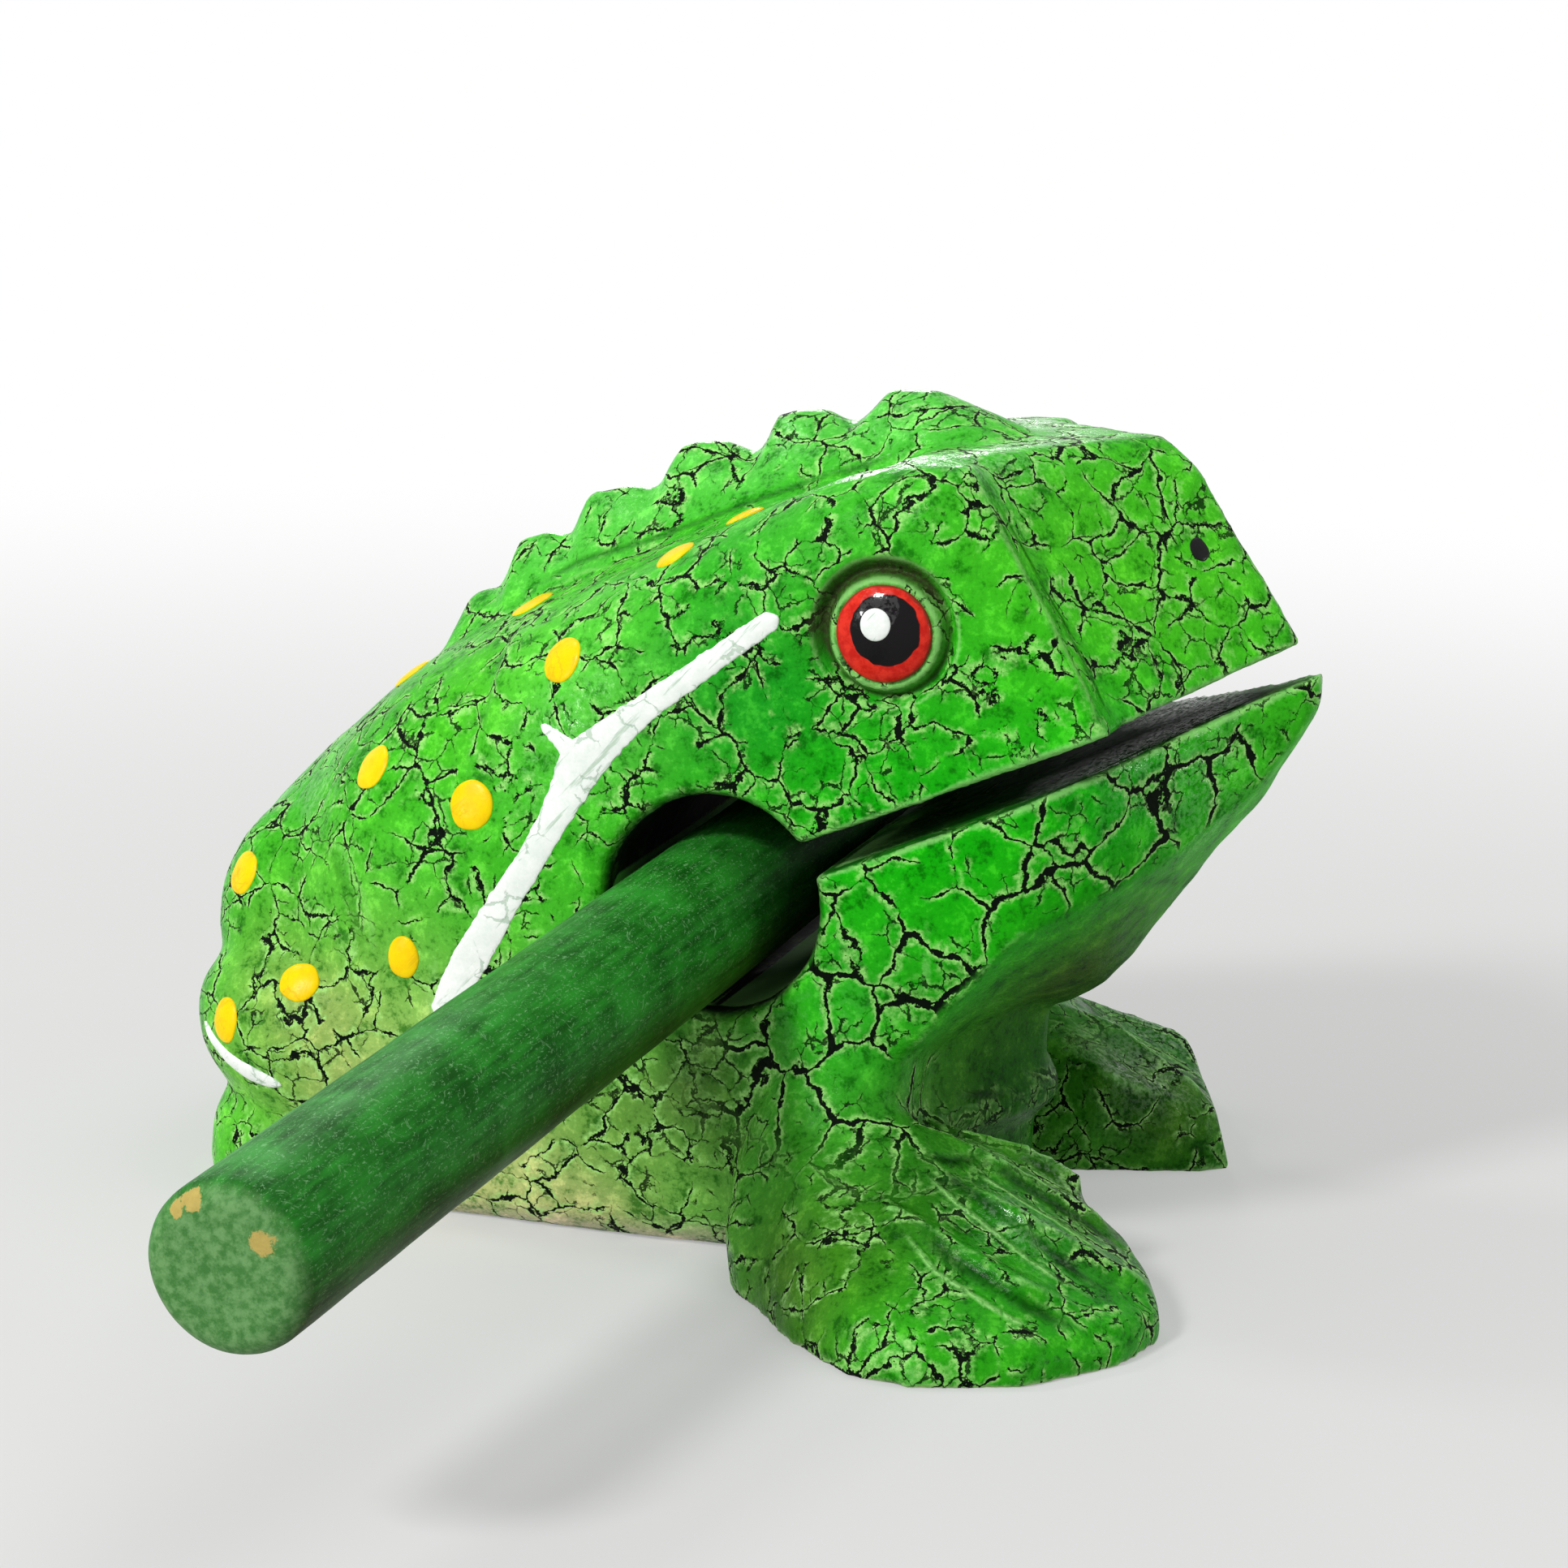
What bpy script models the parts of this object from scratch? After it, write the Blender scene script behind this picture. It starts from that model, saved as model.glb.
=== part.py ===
"""Carved wooden frog rasp with its striker stick.

Two solids: the frog, carved from one block, and the round stick that lies through the bore.
The frog faces +X, its left side is +Y, its soles and belly stand at z = 0. Metres, +Z up.
"""

import math

import bmesh
import bpy
from mathutils import Matrix, Vector

MM = 0.001

# Reach of the block: rump, snout tip and the top of the crest
RUMP_X = -41.6 * MM
SNOUT_TIP_X = 45.6 * MM
CREST_TOP_Z = 65.9 * MM

# Bore and stick
BORE_X = 5.3 * MM
BORE_Z = 28.2 * MM
BORE_RADIUS = 8.4 * MM
BORE_CHAMFER = 0.9 * MM
STICK_RADIUS = 5.65 * MM
STICK_GAP = 0.3 * MM
STICK_OUT = 71.0 * MM
STICK_THROUGH = 14.0 * MM
STICK_END_ROUND = 1.6 * MM
FLANK_Y = 21.5 * MM

# Mouth: one straight saw cut from the snout tip down to the bore
MOUTH_SLOPE = math.radians(24.0)
MOUTH_X = 45.5 * MM
MOUTH_Z = 46.9 * MM
MOUTH_WIDTH = 2.7 * MM

# Eyes
EYE_X = 18.0 * MM
EYE_Z = 50.1 * MM
EYE_DOME_RADIUS = 4.9 * MM
EYE_DOME_HEIGHT = 1.0 * MM
EYE_GROOVE_RADIUS = 5.4 * MM
EYE_GROOVE_WIDTH = 1.5 * MM
CHEEK_Y = 20.9 * MM

# Blending of the carved masses
VOXEL = 0.6 * MM
SMOOTH_TURNS = 2
FROG_TRIANGLES = 7600


def clear_scene():
    for obj in list(bpy.data.objects):
        bpy.data.objects.remove(obj, do_unlink=True)


def new_collection(name):
    collection = bpy.data.collections.new(name)
    bpy.context.scene.collection.children.link(collection)
    return collection


def material(name, colour, roughness):
    mat = bpy.data.materials.new(name)
    mat.use_nodes = True
    shader = mat.node_tree.nodes["Principled BSDF"]
    shader.inputs["Base Color"].default_value = (*colour, 1.0)
    shader.inputs["Roughness"].default_value = roughness
    return mat


def link(mesh, name, collection):
    obj = bpy.data.objects.new(name, mesh)
    collection.objects.link(obj)
    return obj


def mesh_from(bm, name, collection):
    bmesh.ops.recalc_face_normals(bm, faces=bm.faces)
    mesh = bpy.data.meshes.new(name)
    bm.to_mesh(mesh)
    bm.free()
    return link(mesh, name, collection)


def both_sides(points):
    """The points and their mirror images across the middle plane."""
    return list(points) + [(x, -y, z) for x, y, z in points]


def hull(name, points, collection):
    """Convex block round the points, in millimetres."""
    bm = bmesh.new()
    for point in points:
        bm.verts.new(Vector(point) * MM)
    result = bmesh.ops.convex_hull(bm, input=bm.verts)
    loose = set(result["geom_interior"]) | set(result["geom_unused"])
    bmesh.ops.delete(bm, geom=list(loose), context="VERTS")
    return mesh_from(bm, name, collection)


def loft(name, rings, collection):
    """Closed skin through rings of equal count, in millimetres, with a flat cap at each end."""
    bm = bmesh.new()
    rows = [[bm.verts.new(Vector(point) * MM) for point in ring] for ring in rings]
    count = len(rows[0])
    for row, following in zip(rows, rows[1:]):
        for i in range(count):
            j = (i + 1) % count
            bm.faces.new((row[i], row[j], following[j], following[i]))
    bm.faces.new(rows[0])
    bm.faces.new(rows[-1])
    return mesh_from(bm, name, collection)


def ellipsoid(name, centre, radii, collection, turn=0.0):
    bm = bmesh.new()
    bmesh.ops.create_uvsphere(bm, u_segments=28, v_segments=14, radius=1.0)
    place = Matrix.Translation(Vector(centre) * MM) @ Matrix.Rotation(turn, 4, "Y")
    scale = Matrix.Diagonal((*[r * MM for r in radii], 1.0))
    bmesh.ops.transform(bm, matrix=place @ scale, verts=bm.verts)
    return mesh_from(bm, name, collection)


def rounded_ring(x, low, high, half_width, power_top, power_low, cove=0.0):
    """Upright ring at x: two powers set how square it is; cove sinks a channel beside the crest."""
    middle = (low + high) / 2
    half = (high - low) / 2
    ring = []
    for step in range(60):
        angle = 2 * math.pi * step / 60
        across = math.cos(angle)
        up = math.sin(angle)
        power = power_top if up > 0 else power_low
        y = half_width * math.copysign(abs(across) ** (2 / power), across)
        z = middle + half * math.copysign(abs(up) ** (2 / power), up)
        if up > 0:
            z -= cove * math.exp(-(((abs(y) - 10.5) / 3.4) ** 2))
        ring.append((x, y, z))
    return ring


def torso(collection):
    """Trunk from the rump to the chest: x, low, high, half width. The rear stations follow the rump."""
    rump = RUMP_X / MM
    stations = (
        (rump, 15.0, 22.4, 3.5),
        (rump + 1.0, 9.0, 25.0, 7.6),
        (rump + 3.4, 5.0, 28.8, 11.4),
        (rump + 6.6, 2.0, 32.4, 14.2),
        (rump + 10.6, 0.0, 36.2, 16.8),
        (rump + 14.6, -1.2, 39.8, 19.4),
        (rump + 18.6, -1.2, 43.0, 20.9),
        (rump + 24.6, -1.2, 46.8, 21.5),
        (-9.0, -1.2, 51.0, 21.6),
        (0.0, -1.2, 55.8, 21.6),
        (9.0, -1.0, 59.0, 21.4),
        (17.0, 2.0, 60.0, 20.4),
    )
    rings = [rounded_ring(*station, 2.7, 7.0) for station in stations]
    return loft("torso", rings, collection)


def trimmed(obj, point, normal):
    """Cuts away the part of a block that lies beyond a plane, and closes the cut."""
    bm = bmesh.new()
    bm.from_mesh(obj.data)
    geometry = bm.verts[:] + bm.edges[:] + bm.faces[:]
    result = bmesh.ops.bisect_plane(
        bm,
        geom=geometry,
        dist=1e-7,
        plane_co=Vector(point) * MM,
        plane_no=Vector(normal),
        clear_outer=True,
    )
    edges = [item for item in result["geom_cut"] if isinstance(item, bmesh.types.BMEdge)]
    bmesh.ops.holes_fill(bm, edges=edges, sides=0)
    bmesh.ops.recalc_face_normals(bm, faces=bm.faces)
    bm.to_mesh(obj.data)
    bm.free()
    return obj


def mouth_normal():
    """Upward normal of the saw cut."""
    return (-math.sin(MOUTH_SLOPE), 0.0, math.cos(MOUTH_SLOPE))


def above_mouth(obj):
    x, y, z = mouth_normal()
    return trimmed(obj, (MOUTH_X / MM, 0.0, MOUTH_Z / MM), (-x, -y, -z))


def below_mouth(obj):
    return trimmed(obj, (MOUTH_X / MM, 0.0, MOUTH_Z / MM), mouth_normal())


BROW_TOP = (23.4, 62.0)
BROW_FOOT = (35.2, 43.6)
BROW_BEVEL = (0.416, 0.827, 0.379)
BROW_BEVEL_REACH = 47.9


def head_block(collection):
    """Broad cheek block that carries the eyes; its front face leans back over the mouth."""
    stations = (
        (-14.0, 22.0, 48.2, 19.8, 2.8, 0.0),
        (-6.0, 24.0, 52.4, 21.2, 3.0, 0.2),
        (2.0, 24.0, 56.6, 21.3, 3.7, 0.8),
        (8.0, 24.0, 59.6, 21.2, 4.8, 1.5),
        (14.0, 26.0, 61.8, 21.1, 6.5, 2.1),
        (19.0, 27.0, 62.9, 21.0, 7.5, 2.3),
        (24.0, 28.0, 63.0, 20.9, 7.5, 2.0),
        (37.0, 28.0, 63.0, 20.8, 7.5, 1.2),
    )
    rings = []
    for x, low, high, half, power, cove in stations:
        rings.append(rounded_ring(x, low, high, half, power, 7.0, cove))
    block = loft("head_block", rings, collection)
    rise = BROW_TOP[1] - BROW_FOOT[1]
    run = BROW_FOOT[0] - BROW_TOP[0]
    block = trimmed(block, (BROW_TOP[0], 0.0, BROW_TOP[1]), (rise, 0.0, run))
    across, aside, upward = BROW_BEVEL
    for side in (-1, 1):
        normal = Vector((across, side * aside, upward))
        block = trimmed(block, normal * BROW_BEVEL_REACH, normal)
    return above_mouth(block)


NECK_X = 14.0
DRAWN_TIP_X = 45.6


def ahead(x):
    """Place along the head, stretched from the neck so that the drawn tip meets the snout tip."""
    return NECK_X + (x - NECK_X) * (SNOUT_TIP_X / MM - NECK_X) / (DRAWN_TIP_X - NECK_X)


SNOUT_REAR = 17.0
SNOUT_PLAN = ((29.6, 17.4), (32.2, 15.8), (36.6, 10.1), (41.0, 4.9), (44.4, 1.8), (DRAWN_TIP_X, 0.0))
SNOUT_LEAN = 0.68
SNOUT_BASE = 48.4
SNOUT_CROWN = (34.5, 0.0, 63.7)


def snout(collection):
    """Narrower wedge in front of the brow step: a blunt V in plan that leans back as it rises."""
    rings = []
    levels = ((30.0, 1.0), (48.4, 1.0), (58.0, 0.95), (61.5, 0.92), (63.4, 0.86), (64.2, 0.76))
    for z, narrow in levels:
        shift = -SNOUT_LEAN * (z - SNOUT_BASE) - 0.55 * max(0.0, z - 61.5)
        front = [(ahead(x) + shift, y * narrow) for x, y in SNOUT_PLAN]
        outline = [(SNOUT_REAR, front[0][1])] + front
        near = [(x, -y, z) for x, y in outline]
        far = [(x, y, z) for x, y in reversed(outline[:-1])]
        rings.append(near + far)
    block = trimmed(loft("snout", rings, collection), SNOUT_CROWN, (-0.08, 0.0, 1.0))
    return above_mouth(block)


def lower_jaw(collection):
    """Jaw and throat: x, half width, lip height, lower edge height, keel height."""
    stations = (
        (47.4, 0.9, 49.0, 44.2, 43.8),
        (46.4, 2.2, 49.0, 42.2, 41.6),
        (43.2, 4.4, 48.6, 37.2, 35.6),
        (40.0, 8.2, 47.2, 34.2, 31.6),
        (36.4, 13.0, 45.6, 31.8, 26.4),
        (33.6, 16.8, 44.4, 30.4, 21.9),
        (31.6, 18.8, 43.4, 29.4, 19.6),
        (29.0, 20.8, 42.4, 27.8, 18.0),
        (25.0, 21.3, 40.6, 23.0, 16.6),
        (22.0, 21.4, 39.2, 19.2, 14.4),
        (14.0, 21.3, 35.6, 14.0, 11.0),
        (6.0, 20.8, 31.6, 12.0, 9.0),
    )
    rings = []
    for station, half, lip, edge, keel in stations:
        x = ahead(station)
        rings.append(
            [
                (x, -half, lip),
                (x, -half, edge),
                (x, -half * 0.45, edge + (keel - edge) * 0.62),
                (x, 0.0, keel),
                (x, half * 0.45, edge + (keel - edge) * 0.62),
                (x, half, edge),
                (x, half, lip),
            ]
        )
    return below_mouth(loft("lower_jaw", rings, collection))


CHEST_LEDGE_X = 28.2
CHEST_WALL_X = 27.0


def bow(front, z):
    """Bow-shaped outline of the breast at one height, as corner points on both sides."""
    back = front - 6.8
    return both_sides([(12.0, 15.5, z), (back, 14.6, z), (front - 2.0, 6.2, z), (front, 0.8, z)])


def chest(collection):
    """Breast between the front legs: a raised ledge across a bow-shaped wall that is cut back below it."""
    upper = bow(CHEST_WALL_X, 9.0) + bow(CHEST_WALL_X, 18.6)
    ledge = bow(CHEST_LEDGE_X - 1.8, 8.4) + bow(CHEST_LEDGE_X, 9.8)
    ledge += bow(CHEST_LEDGE_X, 11.6) + bow(CHEST_LEDGE_X - 1.6, 13.0)
    lower = bow(CHEST_WALL_X - 0.6, -1.2) + bow(CHEST_WALL_X - 0.8, 10.0)
    return [
        hull("chest_upper", upper, collection),
        hull("chest_ledge", ledge, collection),
        hull("chest_lower", lower, collection),
    ]


def front_leg(side, collection):
    """Upper leg, flush with the flank at the top and splayed out at the ankle."""
    rings = []
    for z, rear, front, inner, outer in (
        (30.0, 9.0, 21.0, 8.0, 21.2),
        (22.0, 10.6, 21.4, 9.0, 21.8),
        (16.0, 9.6, 21.2, 10.0, 23.0),
        (10.0, 8.2, 20.8, 11.0, 25.6),
        (4.0, 7.8, 25.0, 11.0, 30.0),
        (-1.2, 9.0, 26.0, 11.0, 31.0),
    ):
        x = (rear + front) / 2
        y = (inner + outer) / 2
        half_x = (front - rear) / 2
        half_y = (outer - inner) / 2
        ring = []
        for step in range(24):
            angle = 2 * math.pi * step / 24
            across = math.copysign(abs(math.cos(angle)) ** 0.75, math.cos(angle))
            along = math.copysign(abs(math.sin(angle)) ** 0.75, math.sin(angle))
            ring.append((x + half_x * across, side * (y + half_y * along), z))
        rings.append(ring)
    return loft("front_leg", rings, collection)


def pared(side, obj):
    """The left foot is cut off shorter than the right one."""
    if side > 0:
        return trimmed(obj, (38.6, 20.5, 0.0), (1.0, 0.36, 0.3))
    return obj


def front_foot(side, collection):
    """Webbed foot: a wedge that falls from the ankle to a thick toe edge; the left one is pared shorter."""
    sole = (
        (9.5, 23.0),
        (12.0, 29.5),
        (17.0, 36.0),
        (23.0, 41.2),
        (28.0, 41.8),
        (35.6, 38.4),
        (40.8, 31.6),
        (42.4, 26.0),
        (41.0, 20.5),
        (38.0, 16.2),
        (27.0, 12.0),
        (16.0, 12.0),
    )
    edge = (
        (10.0, 23.0, 4.0),
        (13.0, 30.0, 3.6),
        (17.4, 35.4, 3.8),
        (23.4, 40.2, 3.8),
        (28.0, 40.8, 3.6),
        (35.2, 37.4, 3.2),
        (40.4, 31.2, 3.0),
        (42.2, 26.2, 2.8),
        (40.2, 21.2, 4.0),
        (37.0, 16.6, 5.2),
        (33.4, 14.8, 7.0),
        (30.2, 12.8, 8.4),
    )
    ankle = (
        (11.5, 22.0, 13.5),
        (20.4, 22.0, 13.8),
        (14.5, 27.0, 10.6),
        (20.2, 26.5, 10.8),
        (21.0, 15.0, 10.4),
    )
    dorsum = (
        (26.0, 24.0, 9.0),
        (33.0, 22.0, 5.4),
    )
    points = [(x, y, -1.2) for x, y in sole]
    points += [(x * 1.004, y * 1.008, 1.5) for x, y in sole]
    points += edge + ankle + dorsum
    foot = hull("front_foot", [(x, side * y, z) for x, y, z in points], collection)
    return pared(side, foot)


# Crest lines of the toes on the front foot, from the ankle to the toe edge; only the right foot has the first
TOES = (
    ((22.0, 14.8, 11.8), (29.0, 14.6, 10.9), (33.6, 14.4, 8.6)),
    ((22.0, 19.4, 12.8), (28.3, 20.8, 11.3), (36.6, 18.4, 6.9)),
    ((22.4, 25.2, 12.2), (32.6, 27.0, 9.2), (41.0, 24.4, 4.4)),
    ((22.6, 31.0, 10.2), (33.6, 34.2, 6.6), (39.8, 31.2, 3.2)),
)
TOE_HALF_WIDTH = 1.9
TOE_HEIGHT = 3.2


def toe(side, crest, collection):
    """Roof-shaped toe that stands on the foot along its crest line."""
    ankle, middle, tip = (Vector(point) for point in crest)
    across = (tip - ankle).cross(Vector((0, 0, 1))).normalized() * TOE_HALF_WIDTH
    drop = Vector((0, 0, TOE_HEIGHT))
    points = [ankle, middle, tip]
    for place in (ankle, middle, tip):
        points.append(place + across - drop)
        points.append(place - across - drop)
    return pared(side, hull("toe", [(x, side * y, z) for x, y, z in points], collection))


def haunch(side, collection):
    """Folded hind leg: a rounded thigh lobe low on the flank."""
    centre = (RUMP_X / MM + 13.2, side * 12.4, 12.6)
    return ellipsoid("haunch", centre, (12.4, 9.3, 8.9), collection, math.radians(8))


def rump_cheek(side, collection):
    """Rounded cheek of the rump, set off from the flank by a soft hollow."""
    centre = (RUMP_X / MM + 10.2, side * 8.6, 21.6)
    return ellipsoid("rump_cheek", centre, (8.8, 8.4, 10.6), collection, math.radians(22))


def hind_foot(side, collection):
    """Hind foot tucked under the thigh."""
    rings = []
    for z, grow in ((-1.2, 0.98), (1.4, 1.0), (4.6, 0.98), (7.5, 0.86)):
        ring = []
        for step in range(24):
            angle = 2 * math.pi * step / 24
            x = RUMP_X / MM + 14.1 + 12.2 * grow * math.cos(angle)
            y = 12.2 + 8.0 * grow * math.sin(angle)
            ring.append((x, side * y, z))
        rings.append(ring)
    return loft("hind_foot", rings, collection)


# Spine teeth: rear notch, rear top, front top, front notch as (x, z) on the middle plane,
# then the rear and front base points as (x, z) at the crest's half width.
TEETH = (
    ((9.5, 62.6), (12.0, 65.9), (16.0, 65.9), (23.6, 63.2), (9.3, 60.6), (21.2, 62.6)),
    ((1.6, 59.6), (3.0, 63.4), (6.8, 63.9), (9.9, 62.6), (2.0, 57.0), (9.3, 60.6)),
    ((-6.9, 56.3), (-5.0, 60.5), (-1.4, 60.8), (2.0, 59.6), (-5.4, 53.0), (2.0, 57.0)),
    ((-14.2, 51.9), (-12.8, 55.8), (-8.8, 56.6), (-6.5, 56.3), (-12.5, 49.0), (-5.4, 53.0)),
    ((-20.2, 47.0), (-18.6, 51.6), (-15.8, 52.4), (-13.9, 51.9), (-18.6, 45.2), (-12.5, 49.0)),
    ((-24.8, 41.8), (-23.0, 46.4), (-21.4, 47.3), (-19.9, 47.0), (-23.4, 41.8), (-18.6, 45.2)),
)
CREST_HALF_WIDTH = 5.8
CREST_RIDGE = 0.7
CREST_ROOT = 7.0


DRAWN_CREST_TOP = 65.9


def spine_tooth(shape, collection):
    lift = CREST_TOP_Z / MM - DRAWN_CREST_TOP
    rear_notch, rear_top, front_top, front_notch, rear_base, front_base = ((x, z + lift) for x, z in shape)
    points = []
    for (x, z), half in (
        (rear_notch, CREST_RIDGE),
        (rear_top, 0.4),
        (front_top, CREST_RIDGE),
        (front_notch, CREST_RIDGE),
        (rear_base, CREST_HALF_WIDTH),
        (front_base, CREST_HALF_WIDTH),
    ):
        points.append((x, half, z))
    for x, z in (rear_base, front_base):
        points.append((x, CREST_HALF_WIDTH, z - CREST_ROOT))
    return hull("spine_tooth", both_sides(points), collection)


def joined(objects, name, collection):
    """One mesh that holds all the masses, still overlapping."""
    bm = bmesh.new()
    for obj in objects:
        bm.from_mesh(obj.data)
    for obj in objects:
        bpy.data.objects.remove(obj, do_unlink=True)
    mesh = bpy.data.meshes.new(name)
    bm.to_mesh(mesh)
    bm.free()
    return link(mesh, name, collection)


def applied(obj, name, collection):
    """Mesh of the object with its modifiers applied, as a new object."""
    graph = bpy.context.evaluated_depsgraph_get()
    mesh = bpy.data.meshes.new_from_object(obj.evaluated_get(graph))
    bpy.data.objects.remove(obj, do_unlink=True)
    mesh.name = name
    return link(mesh, name, collection)


def boolean(obj, cutter, label, operation="DIFFERENCE"):
    change = obj.modifiers.new(label, "BOOLEAN")
    change.operation = operation
    change.solver = "EXACT"
    change.object = cutter


def carved_blank(collection):
    """The masses blended into one softly rounded carving."""
    masses = [torso(collection), head_block(collection), snout(collection), lower_jaw(collection)]
    for side in (-1, 1):
        masses.append(front_leg(side, collection))
        masses.append(front_foot(side, collection))
        crests = TOES if side < 0 else TOES[1:]
        masses += [toe(side, crest, collection) for crest in crests]
        masses.append(haunch(side, collection))
        masses.append(rump_cheek(side, collection))
        masses.append(hind_foot(side, collection))
    for shape in TEETH:
        masses.append(spine_tooth(shape, collection))
    masses += chest(collection)
    blank = joined(masses, "carved_blank", collection)
    blend = blank.modifiers.new("blend", "REMESH")
    blend.mode = "VOXEL"
    blend.voxel_size = VOXEL
    soften = blank.modifiers.new("soften", "SMOOTH")
    soften.factor = 0.5
    soften.iterations = SMOOTH_TURNS
    blank = applied(blank, "carved_blank", collection)
    blank.data.calc_loop_triangles()
    thin = blank.modifiers.new("thin", "DECIMATE")
    thin.ratio = FROG_TRIANGLES / len(blank.data.loop_triangles)
    return applied(blank, "frog_body", collection)


def bore_cutter(collection):
    """Straight cylinder across the body, with a cone at each flank that breaks the rim."""
    rings = []
    half = 40.0
    flank = FLANK_Y / MM
    radius = BORE_RADIUS / MM
    flare = BORE_CHAMFER / MM
    reach = half - flank
    stations = ((-half, flare + reach), (-flank + flare, 0.0), (flank - flare, 0.0), (half, flare + reach))
    for y, grow in stations:
        ring = []
        for step in range(64):
            angle = 2 * math.pi * step / 64
            x = BORE_X / MM + (radius + grow) * math.cos(angle)
            z = BORE_Z / MM + (radius + grow) * math.sin(angle)
            ring.append((x, y, z))
        rings.append(ring)
    return loft("bore_cutter", rings, collection)


def eye_dome(side, collection):
    """Shallow dome of the eye, sunk to its waist in the cheek."""
    radius = EYE_DOME_RADIUS / MM
    centre = (EYE_X / MM, side * (CHEEK_Y / MM - 0.4), EYE_Z / MM)
    return ellipsoid("eye_dome", centre, (radius, EYE_DOME_HEIGHT / MM + 0.4, radius), collection)


def eye_groove_cutter(side, collection):
    """Ring-shaped gouge round the eye."""
    bm = bmesh.new()
    circle = bmesh.ops.create_circle(bm, segments=8, radius=EYE_GROOVE_WIDTH / 2)["verts"]
    bmesh.ops.translate(bm, vec=(EYE_GROOVE_RADIUS, 0, 0), verts=circle)
    bmesh.ops.rotate(
        bm,
        cent=(EYE_GROOVE_RADIUS, 0, 0),
        matrix=Matrix.Rotation(math.radians(9), 3, "Z"),
        verts=circle,
    )
    bmesh.ops.spin(
        bm,
        geom=bm.verts[:] + bm.edges[:],
        cent=(0, 0, 0),
        axis=(0, 1, 0),
        angle=2 * math.pi,
        steps=40,
        use_merge=True,
        use_duplicate=False,
    )
    centre = Vector((EYE_X, side * (CHEEK_Y + 0.1 * MM), EYE_Z))
    bmesh.ops.translate(bm, vec=centre, verts=bm.verts)
    return mesh_from(bm, "eye_groove_cutter", collection)


def mouth_cutter(collection):
    """Thin slab of the saw cut, from in front of the snout back into the bore."""
    length = 60 * MM
    bm = bmesh.new()
    bmesh.ops.create_cube(bm, size=1.0)
    size = Matrix.Diagonal((length, 70 * MM, MOUTH_WIDTH, 1.0))
    bmesh.ops.transform(bm, matrix=size, verts=bm.verts)
    bore_distance = (MOUTH_X - BORE_X) / math.cos(MOUTH_SLOPE)
    centre = length / 2 - bore_distance
    turn = Matrix.Rotation(-MOUTH_SLOPE, 4, "Y")
    place = Matrix.Translation((MOUTH_X, 0, MOUTH_Z)) @ turn @ Matrix.Translation((centre, 0, 0))
    bmesh.ops.transform(bm, matrix=place, verts=bm.verts)
    return mesh_from(bm, "mouth_cutter", collection)


def floor_cutter(collection):
    """Block that planes the belly and the soles flat at z = 0."""
    bm = bmesh.new()
    bmesh.ops.create_cube(bm, size=1.0)
    place = Matrix.Translation((0, 0, -10 * MM)) @ Matrix.Diagonal((140 * MM, 120 * MM, 20 * MM, 1.0))
    bmesh.ops.transform(bm, matrix=place, verts=bm.verts)
    return mesh_from(bm, "floor_cutter", collection)


SMOOTH_BELOW = math.radians(24)


def shade_round(obj):
    """Smooth shading that keeps every edge sharper than the limit crisp."""
    obj.data.shade_smooth()
    obj.data.set_sharp_from_angle(angle=SMOOTH_BELOW)


def stick_axis():
    """Point on the axis at the near flank and the unit direction out of the bore on the near side."""
    shift = (BORE_RADIUS - STICK_RADIUS - STICK_GAP) / math.sqrt(2)
    near = Vector((BORE_X - shift, -FLANK_Y, BORE_Z - shift))
    far = Vector((BORE_X + shift, FLANK_Y, BORE_Z + shift))
    return near, (near - far).normalized()


def striker_stick(collection, mat):
    near, outward = stick_axis()
    inside = 2 * FLANK_Y / -outward.y
    length = STICK_OUT + inside + STICK_THROUGH
    bm = bmesh.new()
    bmesh.ops.create_cone(
        bm,
        cap_ends=True,
        segments=40,
        radius1=STICK_RADIUS,
        radius2=STICK_RADIUS,
        depth=length,
    )
    rims = [edge for edge in bm.edges if abs(edge.verts[0].co.z - edge.verts[1].co.z) < 0.1 * MM]
    bmesh.ops.bevel(
        bm,
        geom=rims,
        offset=STICK_END_ROUND,
        offset_type="OFFSET",
        affect="EDGES",
        segments=3,
        profile=0.5,
        material=-1,
    )
    turn = Vector((0, 0, 1)).rotation_difference(outward).to_matrix().to_4x4()
    centre = near + outward * (STICK_OUT - length / 2)
    bmesh.ops.transform(bm, matrix=Matrix.Translation(centre) @ turn, verts=bm.verts)
    stick = mesh_from(bm, "striker_stick", collection)
    stick.data.materials.append(mat)
    return stick


def main():
    clear_scene()
    parts = new_collection("frog_rasp")
    cutters = new_collection("cutters")
    cutters.hide_render = True

    frog = carved_blank(parts)
    frog.data.materials.clear()
    frog.data.materials.append(material("crackled_green_paint", (0.05, 0.42, 0.03), 0.3))
    for side, label in ((-1, "right"), (1, "left")):
        boolean(frog, eye_dome(side, cutters), "eye dome " + label, "UNION")
        boolean(frog, eye_groove_cutter(side, cutters), "eye groove " + label)
    boolean(frog, floor_cutter(cutters), "flat soles")
    boolean(frog, bore_cutter(cutters), "bore")
    boolean(frog, mouth_cutter(cutters), "mouth")

    stick = striker_stick(parts, material("dark_green_stain", (0.01, 0.10, 0.03), 0.45))
    for obj in (frog, stick):
        shade_round(obj)

    for cutter in cutters.objects:
        cutter.hide_render = True
        cutter.display_type = "WIRE"


main()
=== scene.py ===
# %% [markdown]
# # Carved wooden frog rasp with its striker stick
# The real thing is a small percussion toy: a frog carved from one block of soft wood, with a row of
# teeth along its back that a stick is drawn over. The stick is kept in a bore through the body.
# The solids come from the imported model. This lesson dresses them: a finer copy of the carving, its
# crackled green paint, the painted eyes, dots and stripes, and the stained stick.

# %% Frame and sizes
import math

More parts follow.
